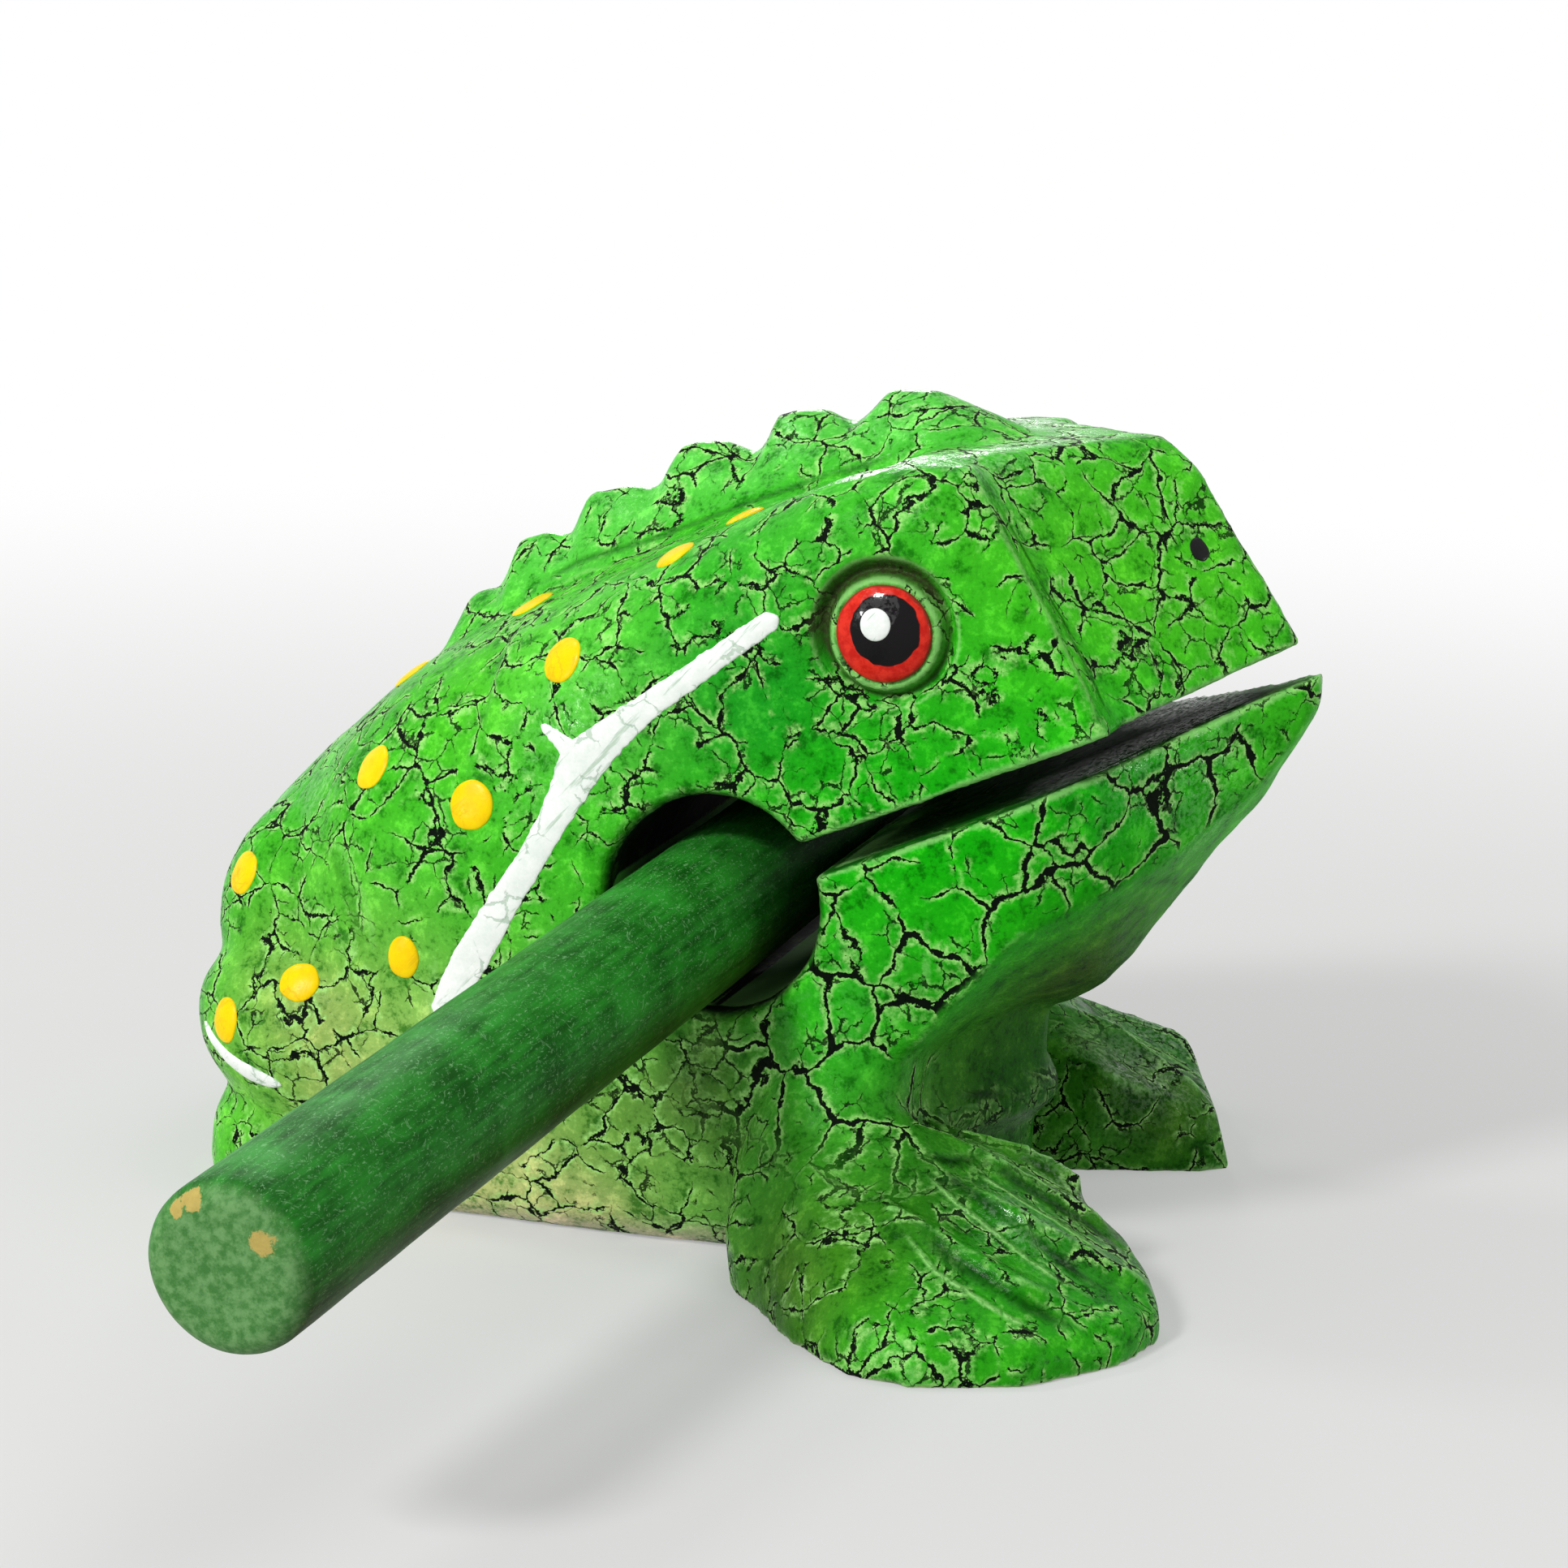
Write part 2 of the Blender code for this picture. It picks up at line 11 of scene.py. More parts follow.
import bmesh
import bpy
import numpy as np
from mathutils import Matrix, Vector, noise
from mathutils.bvhtree import BVHTree
from mathutils.kdtree import KDTree


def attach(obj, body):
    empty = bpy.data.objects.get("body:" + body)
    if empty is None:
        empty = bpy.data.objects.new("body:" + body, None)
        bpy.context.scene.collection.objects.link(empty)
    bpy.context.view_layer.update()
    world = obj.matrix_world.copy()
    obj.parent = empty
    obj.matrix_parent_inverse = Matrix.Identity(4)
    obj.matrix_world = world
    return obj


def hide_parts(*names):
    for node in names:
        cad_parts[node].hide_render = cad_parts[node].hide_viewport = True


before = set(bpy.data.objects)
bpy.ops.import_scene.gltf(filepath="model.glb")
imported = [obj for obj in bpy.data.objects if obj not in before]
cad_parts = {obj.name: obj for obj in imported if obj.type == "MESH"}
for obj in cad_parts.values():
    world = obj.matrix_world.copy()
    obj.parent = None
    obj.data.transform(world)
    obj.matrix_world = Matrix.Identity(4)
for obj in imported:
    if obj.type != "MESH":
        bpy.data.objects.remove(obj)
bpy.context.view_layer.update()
MM = 0.001
scene = bpy.context.scene
scene.view_settings.view_transform = "Standard"
print("nodes:", sorted(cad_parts))

# %% [markdown]
# ## Camera
# The photograph looks down a little on the right side of the frog, with the snout pointing right.
# The view is set by an azimuth and an elevation round the frog, a small roll, and the distance.
# A long lens keeps the stick, which comes towards the camera, from growing too much.

# %% Camera at the photograph's angle
PHOTO_SIDE = 1932
FOCAL_PIXELS = 4814.0
SENSOR = 36.0
VIEW_AZIMUTH = math.radians(16.6)
VIEW_ELEVATION = math.radians(12.2)
VIEW_ROLL = math.radians(2.0)
CAMERA_PLACE = Vector((92.41, -295.11, 99.90)) * MM

back = Vector(
    (
        math.sin(VIEW_AZIMUTH) * math.cos(VIEW_ELEVATION),
        -math.cos(VIEW_AZIMUTH) * math.cos(VIEW_ELEVATION),
        math.sin(VIEW_ELEVATION),
    )
)
level = Vector((math.cos(VIEW_AZIMUTH), math.sin(VIEW_AZIMUTH), 0.0))
upright = back.cross(level)
right = level * math.cos(VIEW_ROLL) + upright * math.sin(VIEW_ROLL)
above = upright * math.cos(VIEW_ROLL) - level * math.sin(VIEW_ROLL)
turn = Matrix((right, above, back)).transposed()


def placed(name, data):
    """New object with the data, linked to the scene."""
    made = bpy.data.objects.new(name, data)
    scene.collection.objects.link(made)
    return made


camera_data = bpy.data.cameras.new("photo_camera")
camera_data.sensor_width = SENSOR
camera_data.lens = FOCAL_PIXELS / PHOTO_SIDE * SENSOR
camera_data.clip_start = 0.01
camera_data.clip_end = 60.0
camera = placed("photo_camera", camera_data)
camera.matrix_world = Matrix.Translation(CAMERA_PLACE) @ turn.to_4x4()
scene.camera = camera
print("lens in mm:", round(camera_data.lens, 2))

# %% [markdown]
# ## Light and floor
# A plain studio: an even pale surround and six soft area lamps. The key lamp stands high on the
# camera's side, a wide one hangs overhead, and four small ones draw highlights along the carved
# edges. The surround is dim as light but white where the camera or a mirror ray meets it. The
# floor is a matt surface near the frog, where it holds the shadow, and turns into plain white
# further out, so no horizon shows.


# %% Helpers for shader nodes
def node(tree, kind, **values):
    """Adds a shader node and sets its plain attributes."""
    made = tree.nodes.new(kind)
    for key, value in values.items():
        setattr(made, key, value)
    return made


def wire(tree, given, target):
    """Links a socket to an input, or sets the input to a plain number, colour or vector."""
    if isinstance(given, bpy.types.NodeSocket):
        tree.links.new(given, target)
    elif given is not None:
        target.default_value = given


def math_node(tree, operation, first, second=None, clamp=False):
    made = node(tree, "ShaderNodeMath", operation=operation, use_clamp=clamp)
    wire(tree, first, made.inputs[0])
    wire(tree, second, made.inputs[1])
    return made.outputs[0]


def times(tree, first, second):
    return math_node(tree, "MULTIPLY", first, second)


def plus(tree, first, second):
    return math_node(tree, "ADD", first, second)


def rest_of(tree, share):
    """What a share from 0 to 1 leaves of 1."""
    return math_node(tree, "SUBTRACT", 1.0, share, clamp=True)


def total(tree, *parts):
    """Sum of values, each times its share."""
    products = [times(tree, value, share) for value, share in parts]
    made = products[0]
    for product in products[1:]:
        made = plus(tree, made, product)
    return made


def ramp_between(tree, value, low, high, start=0.0, end=1.0):
    """Smooth step of a value from low to high."""
    made = node(tree, "ShaderNodeMapRange", interpolation_type="SMOOTHSTEP")
    names = ("Value", "From Min", "From Max", "To Min", "To Max")
    for name, given in zip(names, (value, low, high, start, end)):
        wire(tree, given, made.inputs[name])
    return made.outputs[0]


def blend_colour(tree, amount, first, second, mode="MIX"):
    """Mix of two colours. Each is a tuple or a socket."""
    made = node(tree, "ShaderNodeMix", data_type="RGBA", blend_type=mode)
    for index, given in ((0, amount), (6, first), (7, second)):
        wire(tree, (*given, 1.0) if isinstance(given, tuple) else given, made.inputs[index])
    return made.outputs[2]


def noise_value(tree, vector, scale, detail=2.0, roughness=0.5, output="Fac"):
    made = node(tree, "ShaderNodeTexNoise")
    names = ("Vector", "Scale", "Detail", "Roughness")
    for name, given in zip(names, (vector, scale, detail, roughness)):
        wire(tree, given, made.inputs[name])
    return made.outputs[output]


def vector_node(tree, operation, first, second=None, scale=None):
    made = node(tree, "ShaderNodeVectorMath", operation=operation)
    wire(tree, first, made.inputs[0])
    wire(tree, second, made.inputs[1])
    if scale is not None:
        wire(tree, scale, made.inputs["Scale"])
    return made.outputs["Value" if operation in ("LENGTH", "DISTANCE") else "Vector"]


def attribute(tree, name, output="Fac"):
    """A value kept at each point of the mesh."""
    return node(tree, "ShaderNodeAttribute", attribute_name=name).outputs[output]


def place_in_mm(tree):
    """Place on the object, in millimetres."""
    return vector_node(tree, "SCALE", node(tree, "ShaderNodeTexCoord").outputs["Object"], scale=1 / MM)


def use_group(tree, group, values):
    """Adds a node group with the given inputs."""
    made = node(tree, "ShaderNodeGroup")
    made.node_tree = group
    for name, given in values.items():
        wire(tree, given, made.inputs[name])
    return made.outputs


def add_bump(tree, shader, height, strength, depth):
    """Fine relief on the shader. Gives the bent normal."""
    bump = node(tree, "ShaderNodeBump")
    bump.inputs["Strength"].default_value = strength
    bump.inputs["Distance"].default_value = depth
    wire(tree, height, bump.inputs["Height"])
    wire(tree, bump.outputs["Normal"], shader.inputs["Normal"])
    return bump.outputs["Normal"]


def seen_directly(tree):
    """1 for rays from the camera, through glass or off a mirror, 0 for rays that gather light."""
    path = node(tree, "ShaderNodeLightPath").outputs
    direct = math_node(tree, "MAXIMUM", path["Is Camera Ray"], path["Is Transmission Ray"])
    return math_node(tree, "MAXIMUM", direct, path["Is Glossy Ray"])


def mix_shaders(tree, amount, first, second, output):
    """Mix of two shaders, wired to the output's surface."""
    either = node(tree, "ShaderNodeMixShader")
    for given, target in zip((amount, first.outputs[0], second.outputs[0]), either.inputs):
        wire(tree, given, target)
    wire(tree, either.outputs[0], output.inputs["Surface"])


def new_material(name, colour, roughness):
    made = bpy.data.materials.new(name)
    made.use_nodes = True
    shader = made.node_tree.nodes["Principled BSDF"]
    shader.inputs["Base Color"].default_value = (*colour, 1.0)
    shader.inputs["Roughness"].default_value = roughness
    return made, made.node_tree, shader


print("helpers ready")

# %% Surround
SURROUND_LIGHT = 0.32

world = bpy.data.worlds.new("studio")
world.use_nodes = True
scene.world = world
tree = world.node_tree
tree.nodes.clear()
lit = node(tree, "ShaderNodeBackground")
lit.inputs["Color"].default_value = (1.0, 0.99, 0.975, 1.0)
lit.inputs["Strength"].default_value = SURROUND_LIGHT
seen = node(tree, "ShaderNodeBackground")
seen.inputs["Color"].default_value = (1.0, 1.0, 1.0, 1.0)
mix_shaders(tree, seen_directly(tree), lit, seen, node(tree, "ShaderNodeOutputWorld"))
print("surround:", SURROUND_LIGHT)

# %% Lamps
LAMP_AIM = Vector((0.0, 0.0, 0.04))
LAMPS = (
    # name, place and size in metres, watts
    ("key_lamp", (-0.26, -0.60, 0.52), 0.14, 4.4),
    ("low_lamp", (-0.42, -0.62, 0.13), 0.07, 0.8),
    ("side_lamp", (0.74, 0.03, 0.11), 0.07, 0.6),
    ("rear_lamp", (-0.25, 0.70, 0.26), 0.12, 0.9),
    ("upper_lamp", (-0.45, 0.05, 0.62), 0.12, 0.8),
    ("top_lamp", (0.25, 0.15, 0.80), 0.50, 1.3),
)
for name, place, size, watts in LAMPS:
    data = bpy.data.lights.new(name, "AREA")
    data.shape = "SQUARE"
    data.size = size
    data.energy = watts
    facing = (LAMP_AIM - Vector(place)).to_track_quat("-Z", "Y").to_matrix().to_4x4()
    placed(name, data).matrix_world = Matrix.Translation(Vector(place)) @ facing

# %% Floor
FLOOR_PALE = (0.58, 0.58, 0.575)
FLOOR_RADIUS = 30.0
WHITE_STARTS = 0.06
WHITE_ENDS = 0.42
WHITE_AT_FROG = 0.35

bm = bmesh.new()
bmesh.ops.create_circle(bm, cap_ends=True, segments=96, radius=FLOOR_RADIUS)
floor_mesh = bpy.data.meshes.new("studio_floor")
bm.to_mesh(floor_mesh)
bm.free()
floor = placed("studio_floor", floor_mesh)

floor_material, tree, shader = new_material("pale_floor", FLOOR_PALE, 0.9)
shader.inputs["Specular IOR Level"].default_value = 0.1
white = node(tree, "ShaderNodeEmission")
reach = vector_node(tree, "LENGTH", node(tree, "ShaderNodeTexCoord").outputs["Object"])
away = ramp_between(tree, reach, WHITE_STARTS, WHITE_ENDS, WHITE_AT_FROG, 1.0)
whiter = times(tree, seen_directly(tree), away)
mix_shaders(tree, whiter, shader, white, tree.nodes["Material Output"])
floor.data.materials.append(floor_material)
print("floor colour:", FLOOR_PALE)

# %% [markdown]
# ## The carving, refined
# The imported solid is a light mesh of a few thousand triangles. A gloss paint shows each of its
# facets, so the visual piece is a finer copy. It could be sculpted anew, but a voxel remesh and
# a smoothing that spares the crisp edges keep it true to the solid, whatever changes there.
# First the loose triangles are merged, then the sharp edges are marked by points along them.

# %% Merged copy of the solid
VOXEL = 0.38 * MM
MOST_TRIANGLES = 190000
CRISP_ANGLE = math.radians(17)
SOFT_LEVELS = 20


def merged_copy(name):
    """A CAD node's mesh with its loose triangles joined, as a bmesh."""
    copy = bmesh.new()
    copy.from_mesh(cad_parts[name].data)
    bmesh.ops.remove_doubles(copy, verts=copy.verts, dist=0.00001)
    return copy


def crisp_points(source, angle, step):
    """Points along each edge where two faces meet at more than the angle."""
    points = []
    for edge in source.edges:
        if len(edge.link_faces) == 2 and edge.calc_face_angle(0.0) > angle:
            start, end = (vert.co for vert in edge.verts)
            count = max(1, int((end - start).length / step))
            points += [start.lerp(end, i / count) for i in range(count + 1)]
    return points


solid = merged_copy("frog_body")
crisp = crisp_points(solid, CRISP_ANGLE, 0.4 * MM)
carving_mesh = bpy.data.meshes.new("frog_carving")
solid.to_mesh(carving_mesh)
solid.free()
carving = placed("frog_carving", carving_mesh)
print("crisp points:", len(crisp))


# %% Voxel remesh and smoothing that spares the edges
def with_modifiers_applied(obj):
    """Puts the evaluated mesh back into the object and drops its modifiers."""
    graph = bpy.context.evaluated_depsgraph_get()
    made = bpy.data.meshes.new_from_object(obj.evaluated_get(graph))
    made.name = obj.name
    obj.modifiers.clear()
    obj.data = made
    return made


def vectors_of(mesh, kind):
    """Each point's "co" or "normal", as (n, 3)."""
    flat = np.empty(len(mesh.vertices) * 3, np.float32)
    mesh.vertices.foreach_get(kind, flat)
    return flat.reshape(-1, 3).astype(float)


def points_of(mesh):
    return vectors_of(mesh, "co")


def normals_of(mesh):
    return vectors_of(mesh, "normal")


def move_points(mesh, places):
    mesh.vertices.foreach_set("co", places.astype(np.float32).ravel())
    mesh.update()


def search_tree(points):
    """Tree that finds the nearest of the points."""
    made = KDTree(len(points))
    for index, point in enumerate(points):
        made.insert(point, index)
    made.balance()
    return made


def smooth_step(values, low, high):
    share = np.clip((values - low) / (high - low), 0.0, 1.0)
    return share * share * (3.0 - 2.0 * share)


finer = carving.modifiers.new("finer", "REMESH")
finer.mode = "VOXEL"
finer.voxel_size = VOXEL
with_modifiers_applied(carving)

tree_of_crisp = search_tree(crisp)
gaps = np.array([tree_of_crisp.find(point)[2] for point in points_of(carving.data)])
softness = smooth_step(gaps, 0.25 * MM, 1.1 * MM)
group = carving.vertex_groups.new(name="soft")
for weight in range(SOFT_LEVELS + 1):
    chosen = np.nonzero(np.round(softness * SOFT_LEVELS) == weight)[0].tolist()
    group.add(chosen, weight / SOFT_LEVELS, "REPLACE")

for label, factor, turns, limited in (("facets", 0.5, 24, True), ("steps", 0.5, 4, False)):
    change = carving.modifiers.new(label, "SMOOTH")
    change.factor = factor
    change.iterations = turns
    if limited:
        change.vertex_group = "soft"
with_modifiers_applied(carving)
carving.data.calc_loop_triangles()
fine_count = len(carving.data.loop_triangles)
lighter = carving.modifiers.new("lighter", "DECIMATE")
lighter.ratio = min(1.0, MOST_TRIANGLES / fine_count)
with_modifiers_applied(carving)
carving.data.calc_loop_triangles()
print("carving triangles:", fine_count, "then", len(carving.data.loop_triangles))

# %% [markdown]
# ## Round the eyes
# Each eye is a low button left standing when a gouge is run round it. The outer wall of that
# groove slopes gently and the inner one is steep. The remesh rounds the ring off, so its depth is
# given again here, by moving the points near the eye's axis inwards along it.

# %% Eye recess
EYE_X = 18.0 * MM
EYE_Z = 50.1 * MM
EYE_BUTTON = 4.55 * MM
EYE_SLOPE_END = 5.75 * MM
EYE_RECESS = 6.3 * MM
EYE_DEPTH = 0.95 * MM
CHEEK_Y = 20.9 * MM


def recess_eye(places):
    """Sinks a ring round each eye's axis and leaves the button standing."""
    from_axis = np.hypot(places[:, 0] - EYE_X, places[:, 2] - EYE_Z)
    near = (from_axis < EYE_RECESS) & (np.abs(places[:, 1]) > CHEEK_Y - 2.5 * MM)
    outer = 1.0 - smooth_step(from_axis, EYE_BUTTON + 0.3 * MM, EYE_SLOPE_END)
    inner = smooth_step(from_axis, EYE_BUTTON - 0.45 * MM, EYE_BUTTON + 0.15 * MM)
    level = CHEEK_Y - EYE_DEPTH * outer * inner
    button = CHEEK_Y + 0.15 * MM
    target = np.where(from_axis < EYE_BUTTON - 0.45 * MM, button, np.minimum(level, button))
    side = np.sign(places[:, 1])
    moved = places.copy()
    moved[near, 1] = (side * target)[near]
    return moved


move_points(carving.data, recess_eye(points_of(carving.data)))
print("eye recess:", EYE_RECESS / MM, "mm")

# %% [markdown]
# ## A knife-carved surface
# Knife and sandpaper leave a block slightly uneven, and thick paint rounds it further. A little
# noise along the normals gives the broken highlights of such a surface.

# %% Slight unevenness
UNEVEN = 0.11 * MM


def uneven(mesh, amount, size):
    """Moves each point along its normal by smooth noise."""
    places = points_of(mesh)
    shift = np.array([noise.noise(Vector(place) / size) for place in places])
    move_points(mesh, places + normals_of(mesh) * (shift * amount)[:, None])


uneven(carving.data, UNEVEN, 4.5 * MM)
uneven(carving.data, UNEVEN * 0.45, 1.7 * MM)
print("unevenness:", UNEVEN / MM, "mm")

# %% [markdown]
# ## Sprayed colours
# The maker lays a black coat, then crackle paint, and sprays the colours on softly: deep green on
# the back and round the eyes, fresh green on the jaw and legs, a pale tan low on the flanks and
# cream on the belly. Three passes are painted shade: the stick's shadow on the flank below the bore,
# over a darker green, and the shade under the jaw and on the breast. Soft sprays have no edges, so
# they are kept as a colour at each point of the mesh. Each spray has a place, a reach, a colour and
# a strength, the same on both sides. In the same way, a number at each point says where the wood is
# hidden, bent or glossy, and where dark spray and painted shade lie in the eye recesses. The hidden
# inside of the bore and the saw cut is painted near black, its dark paint deepened as painted shade.

# %% Spray passes
BASE_GREEN = (0.032, 0.450, 0.010)
SPRAYS = (
    # place in mm, reach in mm, colour, strength
    ((-16.0, 16.0, 48.0), 15.0, (0.068, 0.500, 0.018), 0.90),
    ((-4.0, 20.0, 44.0), 7.0, (0.150, 0.720, 0.070), 0.70),
    ((-28.0, 14.0, 34.0), 11.0, (0.038, 0.370, 0.008), 0.85),
    ((12.0, 16.0, 60.0), 11.0, (0.060, 0.450, 0.030), 0.80),
    ((8.0, 21.0, 45.0), 10.0, (0.008, 0.280, 0.014), 0.95),
    ((22.0, 20.0, 40.0), 10.0, (0.010, 0.330, 0.008), 0.90),
    ((36.0, 10.0, 56.0), 14.0, (0.075, 0.560, 0.016), 0.90),
    ((20.0, 21.0, 30.0), 12.0, (0.001, 0.440, 0.001), 1.00),
    ((32.0, 14.0, 36.0), 11.0, (0.002, 0.430, 0.002), 1.00),
    ((14.0, 24.0, 19.0), 9.5, (0.002, 0.520, 0.002), 1.00),
    ((27.0, 27.0, 7.0), 14.0, (0.003, 0.150, 0.001), 1.00),
    ((36.0, 20.0, 4.0), 9.0, (0.006, 0.150, 0.001), 0.90),
    ((18.0, 33.0, 0.0), 9.0, (0.060, 0.190, 0.010), 0.85),
    ((-24.0, 20.0, 28.0), 8.0, (0.070, 0.520, 0.025), 0.60),
    ((-28.0, 20.0, 14.0), 9.5, (0.230, 0.370, 0.075), 0.90),
    ((-16.0, 21.0, 5.0), 10.0, (0.800, 0.800, 0.320), 0.92),
    ((-6.0, 21.0, 0.0), 7.0, (0.700, 0.720, 0.280), 0.85),
    ((-2.0, 21.0, 10.0), 8.0, (0.045, 0.280, 0.004), 0.85),
    # painted shadow of the stick on the flank below the bore, over a darker green
    ((6.0, 21.0, 15.0), 6.0, (0.010, 0.140, 0.001), 0.90),
    ((-34.0, 10.0, 4.0), 8.0, (0.140, 0.620, 0.030), 0.85),
    ((0.0, 0.0, -2.0), 22.0, (0.480, 0.450, 0.220), 0.60),
    # painted shade: the next two passes darken the throat and the breast
    ((30.0, 4.0, 22.0), 12.0, (0.038, 0.090, 0.004), 0.95),
    ((26.0, 0.0, 10.0), 12.0, (0.003, 0.080, 0.001), 0.97),
    ((34.0, 14.0, 6.0), 7.0, (0.050, 0.150, 0.010), 0.60),
)
CREST_GREEN = (0.100, 0.560, 0.065)
BUTTON_OLIVE = (0.085, 0.260, 0.045)
DARK_PAINT_AND_SHADE_INSIDE = (0.006, 0.012, 0.005)
CREAM = (0.640, 0.600, 0.400)
BORE_X = 5.3 * MM
BORE_Z = 28.2 * MM
BORE_RADIUS = 8.4 * MM
MOUTH_SLOPE = math.radians(24.0)
MOUTH_X = 45.5 * MM
MOUTH_Z = 46.9 * MM
MOUTH_WIDTH = 2.7 * MM


def toward(colours, target, share):
    return colours + (np.array(target) - colours) * share[:, None]


def folded(mesh):
    """Points of the mesh, with those of the right side mirrored onto the left."""
    return points_of(mesh) * (1, 0, 1) + np.abs(points_of(mesh) * (0, 1, 0))


def falloff(places, centre, reach):
    """1 at the centre and nearly 0 at twice the reach, both in millimetres."""
    return np.exp(-((np.linalg.norm(places - np.array(centre) * MM, axis=1) / (reach * MM)) ** 2))


def above_cut(places):
    """Height over the middle plane of the saw cut."""
    rise = (places[:, 2] - MOUTH_Z) * math.cos(MOUTH_SLOPE)
    return rise - (places[:, 0] - MOUTH_X) * math.sin(MOUTH_SLOPE)


def sprayed(mesh):
    """Colour of the spray at each point, as (n, 3)."""
    places = folded(mesh)
    colours = np.tile(np.array(BASE_GREEN), (len(places), 1))
    wander = np.array([noise.noise(Vector(place) / (9 * MM)) for place in points_of(mesh)])
    for centre, reach, colour, strength in SPRAYS:
        share = strength * falloff(places, centre, reach) * (1.0 + 0.5 * wander)
        colours = toward(colours, colour, np.clip(share, 0, 1))
    crest = 1 - smooth_step(places[:, 1], 3.5 * MM, 7 * MM)
    crest *= smooth_step(places[:, 2], 42 * MM, 52 * MM)
    crest *= 1 - smooth_step(places[:, 0], 12 * MM, 24 * MM)
    colours = toward(colours, CREST_GREEN, 0.7 * crest)
    under = smooth_step(-normals_of(mesh)[:, 2], 0.35, 0.85)
    under *= 1 - smooth_step(places[:, 2], 3 * MM, 9 * MM)
    return toward(colours, CREAM, 0.85 * under)


def hidden_share(mesh):
    """1 inside the bore and the saw cut, 0 on the outside."""
    places = points_of(mesh)
    from_bore = np.hypot(places[:, 0] - BORE_X, places[:, 2] - BORE_Z)
    in_bore = 1 - smooth_step(from_bore, BORE_RADIUS + 0.2 * MM, BORE_RADIUS + 0.7 * MM)
    in_bore *= 1 - smooth_step(np.abs(places[:, 1]), 20.4 * MM, 21.3 * MM)
    half = MOUTH_WIDTH / 2
    in_cut = 1 - smooth_step(np.abs(above_cut(places)), half - 0.1 * MM, half + 0.25 * MM)
    in_cut *= smooth_step(places[:, 0], BORE_X, BORE_X + 6 * MM)
    return np.clip(np.maximum(in_bore, in_cut), 0, 1)


def from_eye(mesh):
    """Distance from the eye's axis, and how far up and to the rear of it a point lies."""
    places = points_of(mesh)
    dx = places[:, 0] - EYE_X
    dz = places[:, 2] - EYE_Z
    distance = np.hypot(dx, dz)
    distance[np.abs(places[:, 1]) < 18 * MM] = 1.0
    return distance, (dz - 0.6 * dx) / (1.17 * np.maximum(distance, 1e-6))


def eye_soot_and_shade(mesh):
    """Dark spray and painted shade in the upper rear of each eye recess and along its bottom line."""
    distance, up_rear = from_eye(mesh)
    band = smooth_step(distance, EYE_BUTTON - 0.55 * MM, EYE_BUTTON - 0.05 * MM)
    band *= 1 - smooth_step(distance, EYE_SLOPE_END - 0.4 * MM, EYE_SLOPE_END + 0.5 * MM)
    line = np.exp(-(((distance - EYE_BUTTON - 0.15 * MM) / (0.22 * MM)) ** 2))
    return np.clip(band * smooth_step(up_rear, -0.15, 0.55) * 0.92 + 0.75 * line, 0, 1)


def store(mesh, name, values):
    """Keeps a number or a colour at each point, for the materials to read."""
    kind = "FLOAT_COLOR" if values.ndim == 2 else "FLOAT"
    layer = mesh.attributes.new(name, kind, "POINT")
    if values.ndim == 2:
        rows = np.ones((len(values), 4), np.float32)
        rows[:, :3] = values
        layer.data.foreach_set("color", rows.ravel())
    else:
        layer.data.foreach_set("value", values.astype(np.float32))


def bends(mesh, turns):
    """About 1 along a crisp convex edge, -1 along a crisp inner corner, 0 on a flat face."""
    places = points_of(mesh)
    ends = np.empty(len(mesh.edges) * 2, np.int32)
    mesh.edges.foreach_get("vertices", ends)
    ends = ends.reshape(-1, 2)
    count = np.bincount(ends.ravel(), minlength=len(places))[:, None]

    def around(values):
        """Mean of the values at the neighbours of each point."""
        sums = np.zeros_like(values)
        np.add.at(sums, ends[:, 0], values[ends[:, 1]])
        np.add.at(sums, ends[:, 1], values[ends[:, 0]])
        return sums / np.maximum(count, 1)

    away = ((places - around(places)) * normals_of(mesh)).sum(axis=1, keepdims=True)
    for _ in range(turns):
        away = (away + around(away)) / 2
    return np.clip(away[:, 0] / (0.055 * MM), -1, 1)


def calm_share(mesh):
    """1 under the jaw and on the breast, where the paint hardly tore."""
    places = points_of(mesh)
    x, y, z = places.T
    throat = smooth_step(-normals_of(mesh)[:, 2], 0.12, 0.45)
    throat *= smooth_step(x, 14 * MM, 20 * MM) * smooth_step(z, 11 * MM, 15 * MM)
    breast = smooth_step(x, 19 * MM, 22 * MM) * (1 - smooth_step(np.abs(y), 12 * MM, 14 * MM))
    breast *= 1 - smooth_step(x, 29 * MM, 31 * MM)
    breast *= smooth_step(z, 11.5 * MM, 13 * MM) * (1 - smooth_step(z, 20 * MM, 24 * MM))
    return np.maximum(throat, breast)


def snout_share(mesh):
    """1 ahead of the brow, where more of the cracks came through."""
    places = points_of(mesh)
    return smooth_step(places[:, 0] * 0.84 + places[:, 2] * 0.54, 52.0 * MM, 55.0 * MM)


def bold_share(mesh):
    """1 on the lower jaw and the front leg, where the islands are large and the cracks wide."""
    places = points_of(mesh)
    share = smooth_step(places[:, 0], 3 * MM, 8 * MM) * smooth_step(places[:, 2], 8 * MM, 13 * MM)
    return share * (1 - smooth_step(above_cut(places), -1 * MM, 1 * MM))


